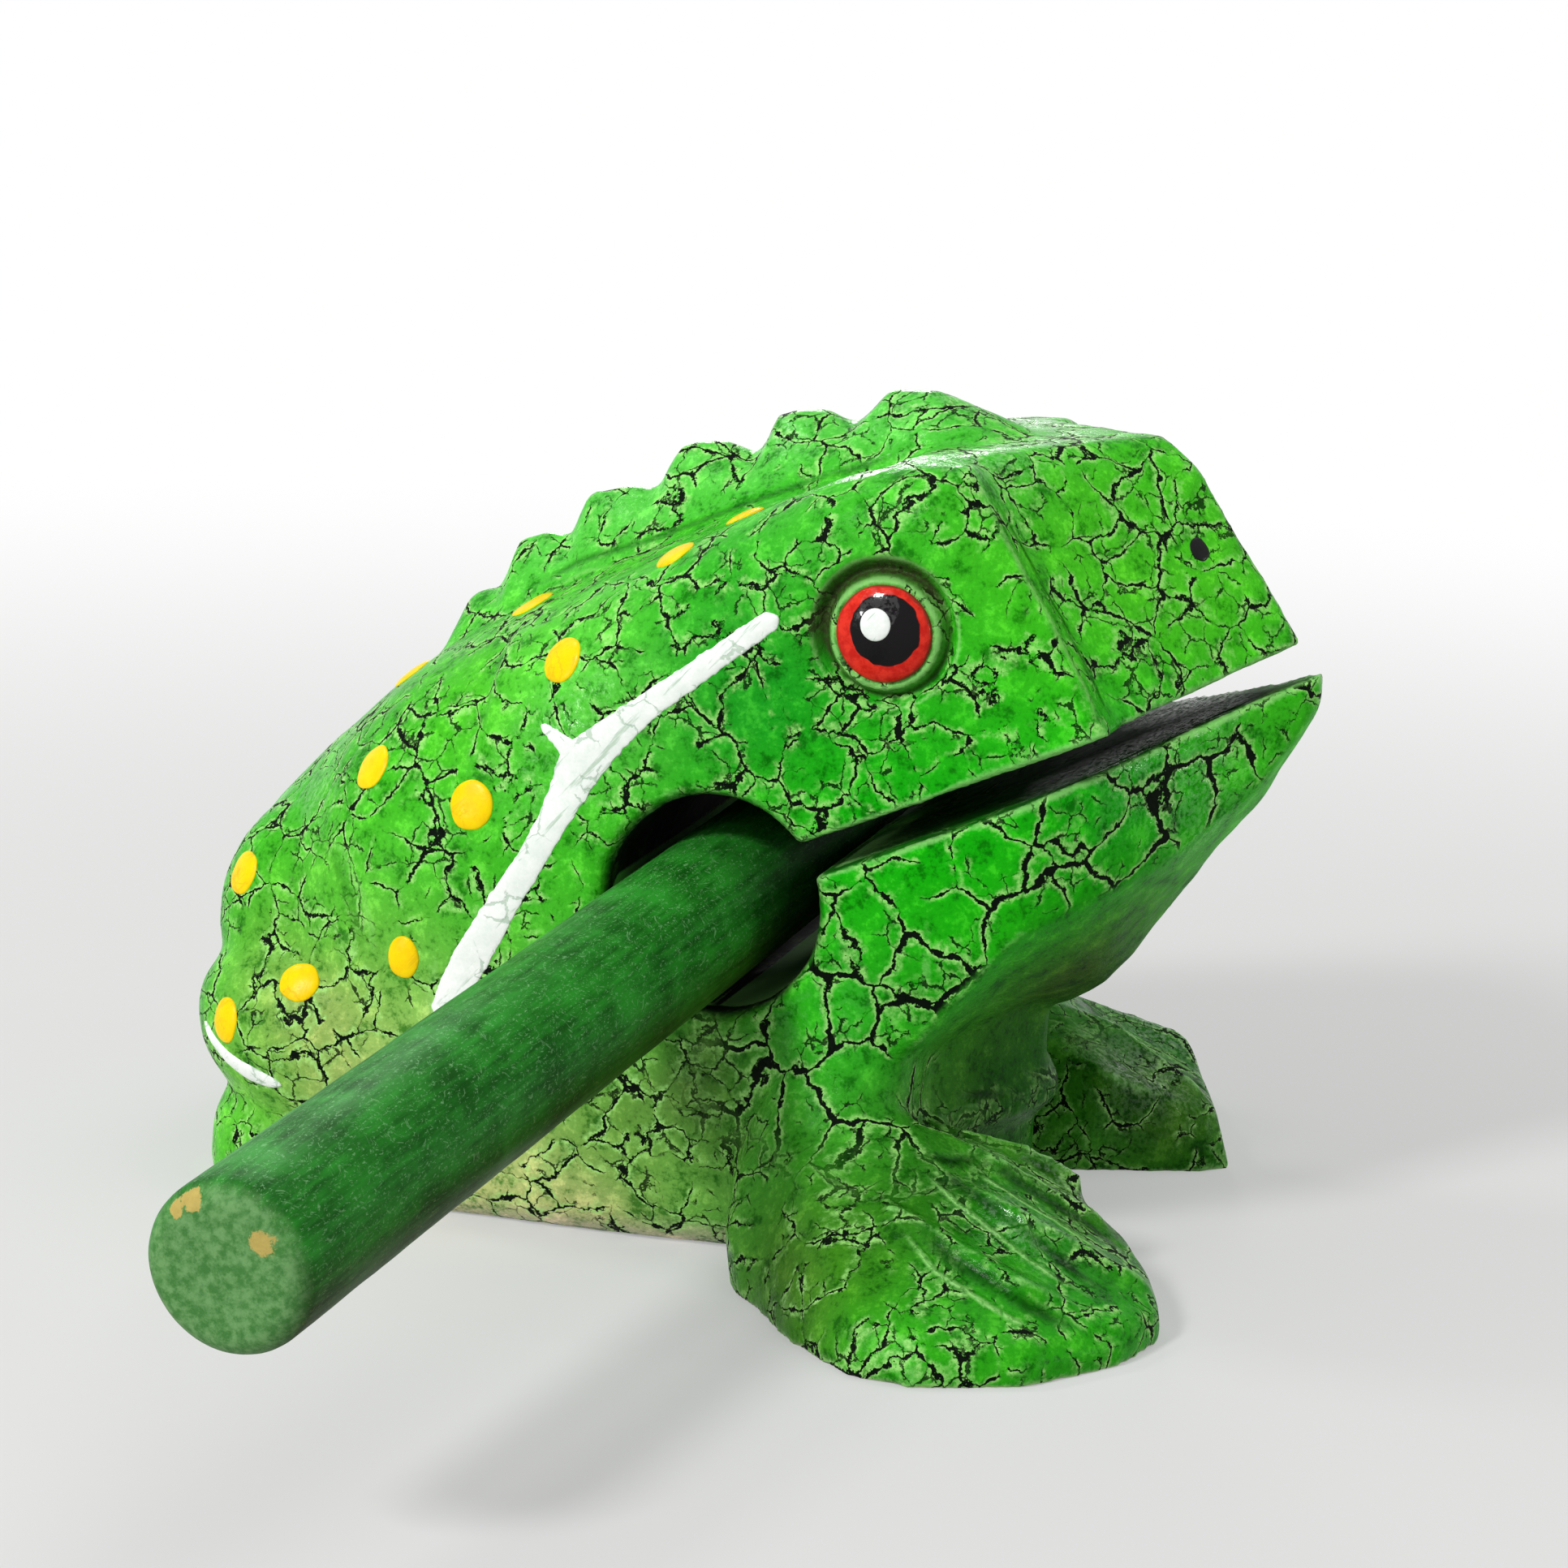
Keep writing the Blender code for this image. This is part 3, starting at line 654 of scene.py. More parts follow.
GLOSSY_PLACES = (
    # place in mm, reach in mm, strength
    ((39.4, 9.0, 38.8), 5.0, 1.0),
    ((35.9, 13.7, 40.7), 4.0, 0.9),
    ((-6.5, 21.0, 40.3), 4.5, 1.0),
    ((22.1, 12.4, 62.7), 5.0, 0.9),
    ((14.8, 2.1, 64.8), 4.0, 0.8),
    ((3.3, 1.2, 62.7), 3.5, 0.8),
    ((-9.0, 1.0, 59.0), 3.5, 0.7),
    ((32.3, 15.2, 8.3), 4.5, 0.8),
    ((31.4, 27.3, 8.7), 4.5, 0.8),
    ((14.3, 21.8, 21.4), 4.0, 0.7),
    ((-30.0, 14.0, 32.0), 4.0, 0.6),
)


def gloss_share(mesh):
    """1 where the paint dried thick and glossy, 0 where it is only satin."""
    places = folded(mesh)
    shares = [strength * falloff(places, centre, reach) for centre, reach, strength in GLOSSY_PLACES]
    return np.max(shares, axis=0)


inside = hidden_share(carving.data)
colours = sprayed(carving.data)
from_axis = from_eye(carving.data)[0]
on_button = 1 - smooth_step(from_axis, EYE_BUTTON - 0.2 * MM, EYE_BUTTON + 0.2 * MM)
colours = toward(colours, BUTTON_OLIVE, 0.75 * on_button)
# The bore and the saw cut are made near black: partly their dark paint, partly painted shade inside the
# deep hole and cut.
colours = toward(colours, DARK_PAINT_AND_SHADE_INSIDE, inside)
for name, values in (
    ("spray", colours),
    ("outside", 1.0 - inside),
    ("bend", bends(carving.data, 2)),
    ("calm", calm_share(carving.data)),
    ("snout", snout_share(carving.data)),
    ("bold", bold_share(carving.data)),
    ("soot_and_shade", eye_soot_and_shade(carving.data)),
    ("gloss", gloss_share(carving.data)),
):
    store(carving.data, name, values)
carving.data.shade_smooth()
print("spray passes:", len(SPRAYS))

# %% [markdown]
# ## Crackle
# Crackle paint shrinks as it dries and tears into islands, and the black coat shows between them.
# Bold cracks part the islands of the jaw and the front leg, smaller ones those of the rest, and
# fine ones run in from their edges and stop. Each island has a paler rim, where the paint pulled
# thin, and a painted sheen on that raised lip makes it paler still. All are the same pattern at
# another size: the distance to the borders of warped cells. So it is one node group, used three
# times in the paint and once more under the brushed paints.


# %% Crackle group
WARP = 2.2


def socket(group, name, kind, direction, default=None):
    made = group.interface.new_socket(name=name, in_out=direction, socket_type=kind)
    if default is not None:
        made.default_value = default
    return made


def crackle_group():
    """Cracks between warped cells. Lengths are in millimetres on the object."""
    group = bpy.data.node_groups.new("crackle", "ShaderNodeTree")
    socket(group, "Place", "NodeSocketVector", "INPUT")
    for name, default in (("Cell", 6.0), ("Width", 0.25), ("Wander", 1.6), ("Jagged", 0.3), ("Lost", 0.3)):
        socket(group, name, "NodeSocketFloat", "INPUT", default)
    for name in ("Crack", "Rim", "Height"):
        socket(group, name, "NodeSocketFloat", "OUTPUT")
    given = node(group, "NodeGroupInput").outputs
    result = node(group, "NodeGroupOutput").inputs

    def warped_by(place, scale, detail, roughness, reach):
        """The place shifted by noise, by up to about the reach."""
        cloud = noise_value(group, given["Place"], scale, detail, roughness, "Color")
        shift = vector_node(group, "SUBTRACT", cloud, (0.5, 0.5, 0.5))
        shift = vector_node(group, "SCALE", shift, scale=times(group, reach, WARP))
        return vector_node(group, "ADD", place, shift)

    warped = warped_by(given["Place"], 0.22, 2.0, 0.5, given["Wander"])
    warped = warped_by(warped, 1.9, 3.0, 0.65, given["Jagged"])
    cells = node(group, "ShaderNodeTexVoronoi", feature="DISTANCE_TO_EDGE")
    wire(group, warped, cells.inputs["Vector"])
    wire(group, math_node(group, "DIVIDE", 1.0, given["Cell"]), cells.inputs["Scale"])
    border = times(group, cells.outputs["Distance"], given["Cell"])

    strength = noise_value(group, warped, 0.30)
    share = ramp_between(group, strength, given["Lost"], plus(group, given["Lost"], 0.28))
    pinch = noise_value(group, given["Place"], 1.1)
    share = times(group, share, ramp_between(group, pinch, 0.34, 0.70, 0.40, 1.6))
    width = times(group, given["Width"], share)

    soft = plus(group, times(group, width, 1.15), 0.035)
    crack = ramp_between(group, border, width, soft, 1.0, 0.0)
    crack = times(group, crack, ramp_between(group, width, 0.006, 0.03))
    wire(group, crack, result["Crack"])
    rim_end = plus(group, soft, 0.42)
    rim = ramp_between(group, border, soft, rim_end, 1.0, 0.0)
    rim = times(group, rim, ramp_between(group, width, 0.01, 0.07))
    rim = math_node(group, "SUBTRACT", rim, crack, clamp=True)
    wire(group, rim, result["Rim"])
    pillow = ramp_between(group, border, width, plus(group, width, 0.7))
    pillow = times(group, pillow, 0.40)
    drop = times(group, crack, -1.0)
    wire(group, plus(group, pillow, drop), result["Height"])
    return group


CRACKLE = crackle_group()


def place_crackle(tree, place, sizes, lost):
    """Cracks with the given cell, width, wander and jaggedness in mm, and a share of them lost."""
    values = dict(zip(("Cell", "Width", "Wander", "Jagged"), sizes), Place=place, Lost=lost)
    return use_group(tree, CRACKLE, values)


print("crackle sockets:", [s.name for s in CRACKLE.interface.items_tree])

# %% [markdown]
# ## Crackled green paint
# The sprayed colour is mottled in each island, darker where the paint is thick. The rims turn to a
# pale yellow green, partly thin paint and partly a painted sheen, and the cracks show the near-black
# coat underneath. Convex edges are lightened, partly wear and partly painted highlight, and inner
# corners are darkened as painted shade. The paint is satin with patches of gloss where it dried
# thick, and the cracks are matt. The relief of islands and cracks is shallow, about a tenth of a
# millimetre, so it is a bump and not part of the mesh.

# %% Paint material
BOLD_CRACKS = (5.6, 0.17, 1.6, 0.34)
SMALL_CRACKS = (4.1, 0.090, 1.7, 0.36)
FINE_CRACKS = (2.2, 0.050, 1.2, 0.36)
CRACK_BLACK = (0.002, 0.005, 0.002)
SOOT_AND_SHADE_BROWN = (0.030, 0.042, 0.012)
WORN_AND_HIGHLIGHT_GREEN = (0.30, 0.70, 0.20)
RIDGE_HIGHLIGHT_GREEN = (0.26, 0.62, 0.16)
RIM_AND_SHEEN_GREEN = (0.42, 0.84, 0.24)


def crackled_paint():
    made, tree, shader = new_material("crackled_green_paint", BASE_GREEN, 0.3)
    place = place_in_mm(tree)
    spray = attribute(tree, "spray", "Color")
    names = ("outside", "bold", "soot_and_shade", "gloss", "calm", "bend", "snout", "drawn")
    outside, bold_area, soot_and_shade, gloss, calm, bend, snout, drawn = (attribute(tree, name) for name in names)

    bold = place_crackle(tree, place, BOLD_CRACKS, 0.29)
    small = place_crackle(tree, place, SMALL_CRACKS, ramp_between(tree, snout, 0.0, 1.0, 0.34, 0.27))
    fine = place_crackle(tree, place, FINE_CRACKS, ramp_between(tree, snout, 0.0, 1.0, 0.40, 0.34))
    spared = ramp_between(tree, math_node(tree, "ABSOLUTE", drawn), 0.10, 0.55, 1.0, 0.15)
    cracked = times(tree, times(tree, outside, rest_of(tree, calm)), spared)
    in_bold = times(tree, bold_area, cracked)
    in_small = times(tree, rest_of(tree, bold_area), cracked)

    def strongest(name, fine_share):
        """Strongest of the three sizes of crackle at a point."""
        large = times(tree, bold[name], in_bold)
        middle = times(tree, small[name], in_small)
        little = times(tree, times(tree, fine[name], fine_share), cracked)
        return math_node(tree, "MAXIMUM", math_node(tree, "MAXIMUM", large, middle), little)

    crack = strongest("Crack", 0.9)
    rim = strongest("Rim", 0.55)

    mottle = noise_value(tree, place, 0.42, 5.0, 0.64)
    grainy = noise_value(tree, place, 2.6, 3.0, 0.65)
    depth = total(tree, (mottle, 0.70), (grainy, 0.30))
    deep = blend_colour(tree, 1.0, spray, (0.20, 0.42, 0.20), "MULTIPLY")
    bright = blend_colour(tree, 1.0, spray, (1.7, 1.40, 1.7), "MULTIPLY")
    bright = blend_colour(tree, 1.0, bright, (0.022, 0.040, 0.006), "ADD")
    island = blend_colour(tree, ramp_between(tree, depth, 0.36, 0.50), deep, spray)
    island = blend_colour(tree, ramp_between(tree, depth, 0.51, 0.64), island, bright)
    # Convex edges turn pale: partly worn paint, partly painted highlight.
    worn = ramp_between(tree, plus(tree, bend, times(tree, grainy, 0.5)), 0.52, 1.0)
    island = blend_colour(tree, times(tree, worn, 0.62), island, WORN_AND_HIGHLIGHT_GREEN)
    # Inner corners and creases are darkened: painted shade.
    shaded = blend_colour(tree, 1.0, island, (0.38, 0.50, 0.36), "MULTIPLY")
    sunk = ramp_between(tree, bend, -0.15, -0.75)
    island = blend_colour(tree, times(tree, sunk, 0.8), island, shaded)
    # Drawn edges: painted highlight on the ridge tops, painted shade in the troughs.
    ridge_highlight = ramp_between(tree, grainy, 0.34, 0.52, 0.35, 1.0)
    ridge_highlight = times(tree, ramp_between(tree, drawn, 0.10, 0.90), ridge_highlight)
    island = blend_colour(tree, ridge_highlight, island, RIDGE_HIGHLIGHT_GREEN)
    trough_shade = blend_colour(tree, 1.0, island, (0.14, 0.26, 0.14), "MULTIPLY")
    island = blend_colour(tree, ramp_between(tree, drawn, -0.10, -0.90), island, trough_shade)
    # Pale rims: thin paint at the island edges, lightened further by a painted sheen on the raised lips.
    rim_amount = times(tree, rim, ramp_between(tree, grainy, 0.34, 0.56, 0.25, 1.0))
    whole = blend_colour(tree, rim_amount, island, blend_colour(tree, 0.72, spray, RIM_AND_SHEEN_GREEN))
    whole = blend_colour(tree, crack, whole, CRACK_BLACK)
    # Dark spray and painted shade: the upper rear of each eye recess and its groove's bottom turn
    # brown-black.
    sooty_and_shaded = times(tree, soot_and_shade, ramp_between(tree, grainy, 0.30, 0.60, 0.75, 1.0))
    whole = blend_colour(tree, sooty_and_shaded, whole, SOOT_AND_SHADE_BROWN)
    wire(tree, whole, shader.inputs["Base Color"])

    thick = times(tree, gloss, ramp_between(tree, grainy, 0.42, 0.56))
    wire(tree, times(tree, thick, rest_of(tree, crack)), shader.inputs["Coat Weight"])
    shader.inputs["Coat Roughness"].default_value = 0.12
    shader.inputs["Specular IOR Level"].default_value = 0.04
    rough = total(tree, (crack, 0.40), (rest_of(tree, outside), 0.7), (calm, 0.18))
    rough = plus(tree, ramp_between(tree, grainy, 0.25, 0.75, 0.15, 0.32), rough)
    wire(tree, rough, shader.inputs["Roughness"])

    wrinkle_place = vector_node(tree, "MULTIPLY", place, (0.9, 0.45, 1.5))
    wrinkle = noise_value(tree, wrinkle_place, 1.3, 4.0, 0.7)
    relief = total(
        tree,
        (bold["Height"], in_bold),
        (times(tree, small["Height"], 0.8), in_small),
        (times(tree, fine["Height"], 0.45), cracked),
        (grainy, 0.35),
        (drawn, 2.2),
        (mottle, 0.35),
        (wrinkle, times(tree, calm, 1.6)),
    )
    normal = add_bump(tree, shader, times(tree, relief, outside), 0.9, 0.16 * MM)
    wire(tree, normal, shader.inputs["Coat Normal"])
    return made


carving.data.materials.clear()
carving.data.materials.append(crackled_paint())
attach(carving, "root")
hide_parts("frog_body")
print("paint on:", carving.name)

# %% [markdown]
# ## Where the brush went
# The dots, the stripes and the nostrils are laid on by brush over the crackle, thick enough to
# stand a little proud. Their places come from the photograph: a line of sight through a pixel meets
# the carving, and that point on the wood is the place. The far side of the frog is painted to
# match, so each place has a twin mirrored across the middle plane.

# %% Lines of sight onto the carving
graph = bpy.context.evaluated_depsgraph_get()
wood = BVHTree.FromObject(carving, graph)


def sight(u, v):
    """Direction from the camera through a pixel of the photograph."""
    half = PHOTO_SIDE / 2
    return (turn @ Vector(((u - half) / FOCAL_PIXELS, (half - v) / FOCAL_PIXELS, -1.0))).normalized()


def seen_at(u, v):
    """Point of the carving seen at a pixel, or the nearest one to its line of sight."""
    ahead = sight(u, v)
    place = wood.ray_cast(CAMERA_PLACE, ahead)[0]
    if place is None:
        steps = [CAMERA_PLACE + ahead * (0.25 + 0.001 * i) for i in range(200)]
        place = min((wood.find_nearest(step) for step in steps), key=lambda found: found[3])[0]
    return place


def twin(place):
    """The matching place on the left side of the frog."""
    return wood.find_nearest(Vector((place.x, -place.y, place.z)))[0]


def on_wood(place, outward, lift):
    """Drops a point onto the carving along -outward, then lifts it along the surface normal."""
    hit, facing = wood.ray_cast(place + outward * 5 * MM, -outward, 9 * MM)[:2]
    if hit is None:
        hit, facing = wood.find_nearest(place)[:2]
    return hit + facing * lift


def tidy_mesh(bm, name, material):
    """Turns a bmesh into a smooth shaded piece that rides on the body."""
    bmesh.ops.recalc_face_normals(bm, faces=bm.faces)
    mesh = bpy.data.meshes.new(name)
    bm.to_mesh(mesh)
    bm.free()
    mesh.shade_smooth()
    mesh.materials.append(material)
    piece = placed(name, mesh)
    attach(piece, "root")


EYE_PIXEL = (1093, 782)
print("eye seen at:", [round(value / MM, 1) for value in seen_at(*EYE_PIXEL)])

# %% [markdown]
# ## Edges that catch the spray
# On the toes and where the brow folds down to the snout, the knife left fine raised lines. Their
# tops get a painted highlight and their troughs painted shade, and a few other creases are drawn
# the same way. They are too narrow for a spray pass, so each is drawn as a line through pixels, and
# the points near it take its shade.

# %% Drawn edges
DRAWN_EDGES = (
    # painted light (1 painted highlight, -1 painted shade), half width in mm, pixels of the photograph
    (-0.85, 0.26, ((1219, 602), (1268, 690), (1315, 775), (1350, 845), (1370, 898))),
    (0.60, 0.45, ((1207, 606), (1256, 694), (1303, 779), (1338, 849), (1358, 902))),
    (0.90, 0.22, ((1220, 1423), (1275, 1450), (1327, 1483))),
    (-0.75, 0.45, ((1232, 1412), (1285, 1438), (1337, 1471))),
    (1.00, 0.24, ((1190, 1436), (1233, 1463), (1335, 1527), (1415, 1586))),
    (-0.80, 0.60, ((1205, 1424), (1247, 1450), (1345, 1512), (1420, 1570))),
    (1.00, 0.26, ((1135, 1440), (1180, 1483), (1280, 1562), (1393, 1640))),
    (-0.80, 0.70, ((1155, 1436), (1197, 1470), (1297, 1545), (1402, 1620))),
    (1.00, 0.26, ((1100, 1500), (1153, 1568), (1250, 1628), (1353, 1677))),
    (-0.80, 0.75, ((1118, 1490), (1170, 1551), (1266, 1610), (1366, 1660))),
    (-0.85, 0.45, ((1130, 1343), (1205, 1349), (1290, 1351))),
    (0.45, 0.30, ((1130, 1357), (1205, 1363), (1290, 1365))),
    (-0.90, 0.60, ((1110, 1428), (1180, 1432), (1262, 1424))),
    (-0.65, 0.45, ((640, 730), (718, 690), (816, 660), (943, 612), (1060, 575), (1130, 553))),
    (0.50, 0.35, ((644, 744), (722, 704), (820, 674), (948, 626), (1064, 590), (1135, 567))),
    (-0.45, 0.80, ((379, 1019), (412, 1060), (431, 1106), (442, 1150), (444, 1190))),
    (0.45, 0.50, ((392, 1012), (426, 1054), (447, 1102), (458, 1148), (460, 1188))),
)
FADE_STEPS = 30


def drawn_shade(mesh):
    """Painted highlight (above 0) and painted shade (below 0) of the nearest drawn edge at each point, on
    both sides of the frog.
    """
    points = points_of(mesh)
    shade = np.zeros(len(points))
    for strength, half, pixels in DRAWN_EDGES:
        spots = [seen_at(u, v) for u, v in pixels]
        for line in (spots, [twin(spot) for spot in spots]):
            steps = [a.lerp(b, i / 40) for a, b in zip(line, line[1:]) for i in range(41)]
            tree_of_steps = search_tree(steps)
            low = np.min([tuple(step) for step in steps], axis=0) - 2 * MM
            high = np.max([tuple(step) for step in steps], axis=0) + 2 * MM
            for index in np.nonzero(np.all((points > low) & (points < high), axis=1))[0]:
                nearest, gap = tree_of_steps.find(points[index])[1:]
                ends = min(nearest, len(steps) - 1 - nearest) / FADE_STEPS
                value = strength * math.exp(-((gap / (half * MM)) ** 2)) * min(1.0, ends)
                if abs(value) > abs(shade[index]):
                    shade[index] = value
    return shade


store(carving.data, "drawn", drawn_shade(carving.data))
print("drawn edges:", len(DRAWN_EDGES))

# %% [markdown]
# ## Brushed paints
# Brush paint is thicker and glossier than the spray, streaked along the stroke, and the crackle
# under it still shows as faint lines. One group gives those lines and the unevenness, and each
# paint has its own colour.


# %% Brush group and plain paints
BRUSH_CRACKS = (2.3, 0.07, 1.0, 0.34)


def brushed_group():
    group = bpy.data.node_groups.new("brushed", "ShaderNodeTree")
    socket(group, "Place", "NodeSocketVector", "INPUT")
    socket(group, "Show Through", "NodeSocketFloat", "INPUT", 0.5)
    for name in ("Shade", "Line", "Height"):
        socket(group, name, "NodeSocketFloat", "OUTPUT")
    given = node(group, "NodeGroupInput").outputs
    result = node(group, "NodeGroupOutput").inputs
    lines = place_crackle(group, given["Place"], BRUSH_CRACKS, 0.42)
    line = times(group, lines["Crack"], given["Show Through"])
    slow = noise_value(group, given["Place"], 0.9, 3.0, 0.6)
    quick = noise_value(group, given["Place"], 4.5)
    both = total(group, (slow, 0.7), (quick, 0.3))
    wire(group, line, result["Line"])
    wire(group, ramp_between(group, both, 0.3, 0.7), result["Shade"])
    wire(group, math_node(group, "SUBTRACT", times(group, both, 0.8), line), result["Height"])
    return group


BRUSHED = brushed_group()
BRUSH_TILT = math.radians(49)


def brush_paint(name, light, dark, roughness, show_through, line_colour):
    """Thick brushed paint that varies between two colours."""
    made, tree, shader = new_material(name, light, roughness)
    place = place_in_mm(tree)
    brushed = use_group(tree, BRUSHED, {"Place": place, "Show Through": show_through})
    colour = blend_colour(tree, brushed["Shade"], dark, light)
    colour = blend_colour(tree, brushed["Line"], colour, line_colour)
    along = node(tree, "ShaderNodeVectorRotate", rotation_type="Y_AXIS")
    along.inputs["Angle"].default_value = BRUSH_TILT
    wire(tree, place, along.inputs["Vector"])
    drag_place = vector_node(tree, "MULTIPLY", along.outputs["Vector"], (0.16, 1.0, 1.5))
    drag = noise_value(tree, drag_place, 1.0, 4.0, 0.68)
    thin = times(tree, ramp_between(tree, drag, 0.57, 0.66), show_through)
    colour = blend_colour(tree, thin, colour, line_colour)
    wire(tree, colour, shader.inputs["Base Color"])
    shader.inputs["Specular IOR Level"].default_value = 0.12
    rough = ramp_between(tree, brushed["Shade"], 0.0, 1.0, roughness + 0.08, roughness - 0.04)
    wire(tree, rough, shader.inputs["Roughness"])
    add_bump(tree, shader, brushed["Height"], 0.6, 0.08 * MM)
    return made


YELLOW, WHITE, BLACK = (
    brush_paint(*values)
    for values in (
        # name, light and dark colour, roughness, show through, colour that shows through
        ("yellow_brush_paint", (0.97, 0.69, 0.0), (0.93, 0.58, 0.0), 0.30, 0.25, (0.55, 0.28, 0.01)),
        ("white_brush_paint", (0.94, 0.96, 0.93), (0.80, 0.86, 0.81), 0.40, 0.60, (0.33, 0.50, 0.35)),
        ("black_brush_paint", (0.012, 0.012, 0.013), (0.006, 0.006, 0.007), 0.22, 0.0, (0.01, 0.01, 0.01)),
    )
)
print("paints:", YELLOW.name, WHITE.name, BLACK.name)

# %% [markdown]
# ## Dots
# Each dot is one touch of a loaded brush: a round drop that dried to a low dome. It starts as a
# sphere, and each of its points is laid on the wood under it and lifted by the dome's height there,
# so it follows the carving and is closed underneath.

# %% Dots
DOT_HEIGHT = 0.32 * MM


def add_dot(bm, centre, radius, stretch, tilt, height):
    """One dome of paint on the wood, radius in metres. Stretch lengthens it along its tilt."""
    outward = wood.find_nearest(centre)[1]
    across = outward.cross(Vector((0, 0, 1))).normalized()
    up = across.cross(outward) * -1.0
    made = bmesh.ops.create_uvsphere(bm, u_segments=36, v_segments=14, radius=1.0)["verts"]
    seed = centre * 300.0
    for vert in made:
        angle = math.atan2(vert.co.y, vert.co.x)
        rim = Vector((math.cos(angle), math.sin(angle), 0))
        reach = radius * math.hypot(vert.co.x, vert.co.y) * (1.0 + 0.07 * noise.noise(seed + rim * 1.3))
        a = reach * rim.x
        b = reach * rim.y * stretch
        along = across * (a * math.cos(tilt) - b * math.sin(tilt))
        along += up * (a * math.sin(tilt) + b * math.cos(tilt))
        vert.co = on_wood(centre + along, outward, vert.co.z * height)


DOTS = (
    # u, v in the photograph, radius in mm, stretch
    (693, 812, 1.72, 1.12),
    (460, 945, 1.70, 1.12),
    (581, 992, 1.80, 1.10),
    (497, 1180, 1.35, 1.25),
    (369, 1210, 1.68, 0.98),
    (277, 1257, 1.45, 1.30),
    (300, 1075, 1.75, 1.05),
    (508, 830, 1.80, 1.00),
    (656, 745, 1.85, 1.00),
    (832, 683, 1.70, 1.00),
    (918, 636, 1.60, 1.00),
)
bm = bmesh.new()
for u, v, radius, stretch in DOTS:
    place = seen_at(u, v)
    for spot in (place, twin(place)):
        add_dot(bm, spot, radius * MM, stretch, 0.0, DOT_HEIGHT)
tidy_mesh(bm, "yellow_dots", YELLOW)
print("dots:", 2 * len(DOTS))

# %% [markdown]
# ## Nostrils
# Two black touches near the tip of the snout, smaller and flatter than the dots and longer than wide.

# %% Nostrils
NOSTRIL_PIXEL = (1478, 677)
NOSTRIL_RADIUS = 0.78 * MM
NOSTRIL_STRETCH = 1.25
NOSTRIL_TILT = math.radians(16)
NOSTRIL_HEIGHT = 0.14 * MM

bm = bmesh.new()
place = seen_at(*NOSTRIL_PIXEL)
for spot, tilt in ((place, NOSTRIL_TILT), (twin(place), -NOSTRIL_TILT)):
    add_dot(bm, spot, NOSTRIL_RADIUS, NOSTRIL_STRETCH, tilt, NOSTRIL_HEIGHT)
tidy_mesh(bm, "nostrils", BLACK)
print("nostrils at x:", round(place.x / MM, 1))

# %% [markdown]
# ## Stripes
# A white stroke starts narrow behind each eye, widens over the flank, where a short wedge leaves
# it, and runs down past the bore. A thinner one edges the thigh. Each is a flat tube swept along
# its line: a straight tube is extruded ring by ring, and then each ring is moved to its point of
# the line, made as wide as the brush there, and laid on the wood.

# %% Stripes
STRIPE_HEIGHT = 0.16 * MM
STROKE_SIDES = 20
OUTWARD_TURNS = 8


def line_on_wood(pixels, count):
    """Evenly spaced places and half widths along the line through (u, v, half width in mm)."""
    spots = [seen_at(u, v) for u, v, half in pixels]
    lengths = [0.0]
    for first, second in zip(spots, spots[1:]):
        lengths.append(lengths[-1] + (second - first).length)
    places = []
    for step in range(count):
        want = lengths[-1] * step / (count - 1)
        index = max(i for i in range(len(lengths) - 1) if lengths[i] <= want + 1e-9)
        share = (want - lengths[index]) / (lengths[index + 1] - lengths[index])
        half = pixels[index][2] + (pixels[index + 1][2] - pixels[index][2]) * share
        from_end = min(want, lengths[-1] - want) / (half * MM)
        half *= max(0.15, math.sqrt(1 - (1 - min(1.0, from_end)) ** 2))
        places.append((spots[index].lerp(spots[index + 1], share), half * MM))
    return places


def eased(places, turns):
    """Rounds the corners of the line."""
    for _ in range(turns):
        middle = [
            ((a[0] + b[0] * 2 + c[0]) / 4, (a[1] + b[1] * 2 + c[1]) / 4)
            for a, b, c in zip(places, places[1:], places[2:])
        ]
        places = [places[0]] + middle + [places[-1]]
    return places


def add_tube(bm, sides, radius, steps):
    """Closed tube along +Z with a ring after each step. Gives its points."""
    verts = bmesh.ops.create_circle(bm, segments=sides, radius=radius)["verts"]
    edges = list(dict.fromkeys(edge for vert in verts for edge in vert.link_edges))
    tube = list(verts)
    rims = list(edges)
    for step in steps:
        grown = bmesh.ops.extrude_edge_only(bm, edges=edges)["geom"]
        edges = [item for item in grown if isinstance(item, bmesh.types.BMEdge) and item.is_boundary]
        verts = [item for item in grown if isinstance(item, bmesh.types.BMVert)]
        bmesh.ops.translate(bm, vec=(0, 0, step), verts=verts)
        tube += verts
    bmesh.ops.holes_fill(bm, edges=rims + edges, sides=0)
    return tube


def add_stroke(bm, places, height, rough_edge):
    """Flat closed tube laid on the wood, with ring 0 at the first place, ring 1 at the next."""
    last = len(places) - 1
    outwards = [wood.find_nearest(place)[1] for place, half in places]
    for _ in range(OUTWARD_TURNS):
        inner = [(a + b * 2 + c).normalized() for a, b, c in zip(outwards, outwards[1:], outwards[2:])]
        outwards = [outwards[0]] + inner + [outwards[-1]]
    for vert in add_tube(bm, STROKE_SIDES, 1.0, [1.0] * last):
        index = round(vert.co.z)
        place, half = places[index]
        ahead = places[min(index + 1, last)][0] - places[max(index - 1, 0)][0]
        across = outwards[index].cross(ahead).normalized()
        side = vert.co.x
        coarse, fine = (3.1, 1.1) if side > 0 else (8.7, 5.7)
        wobble = noise.noise(place * 900.0 + Vector((0, 0, coarse)))
        wobble += 0.6 * noise.noise(place * 2600.0 + Vector((0, 0, fine)))
        reach = half * side + math.copysign(rough_edge * wobble, side) * abs(side)
        vert.co = on_wood(place + across * reach, outwards[index], vert.co.y * height)


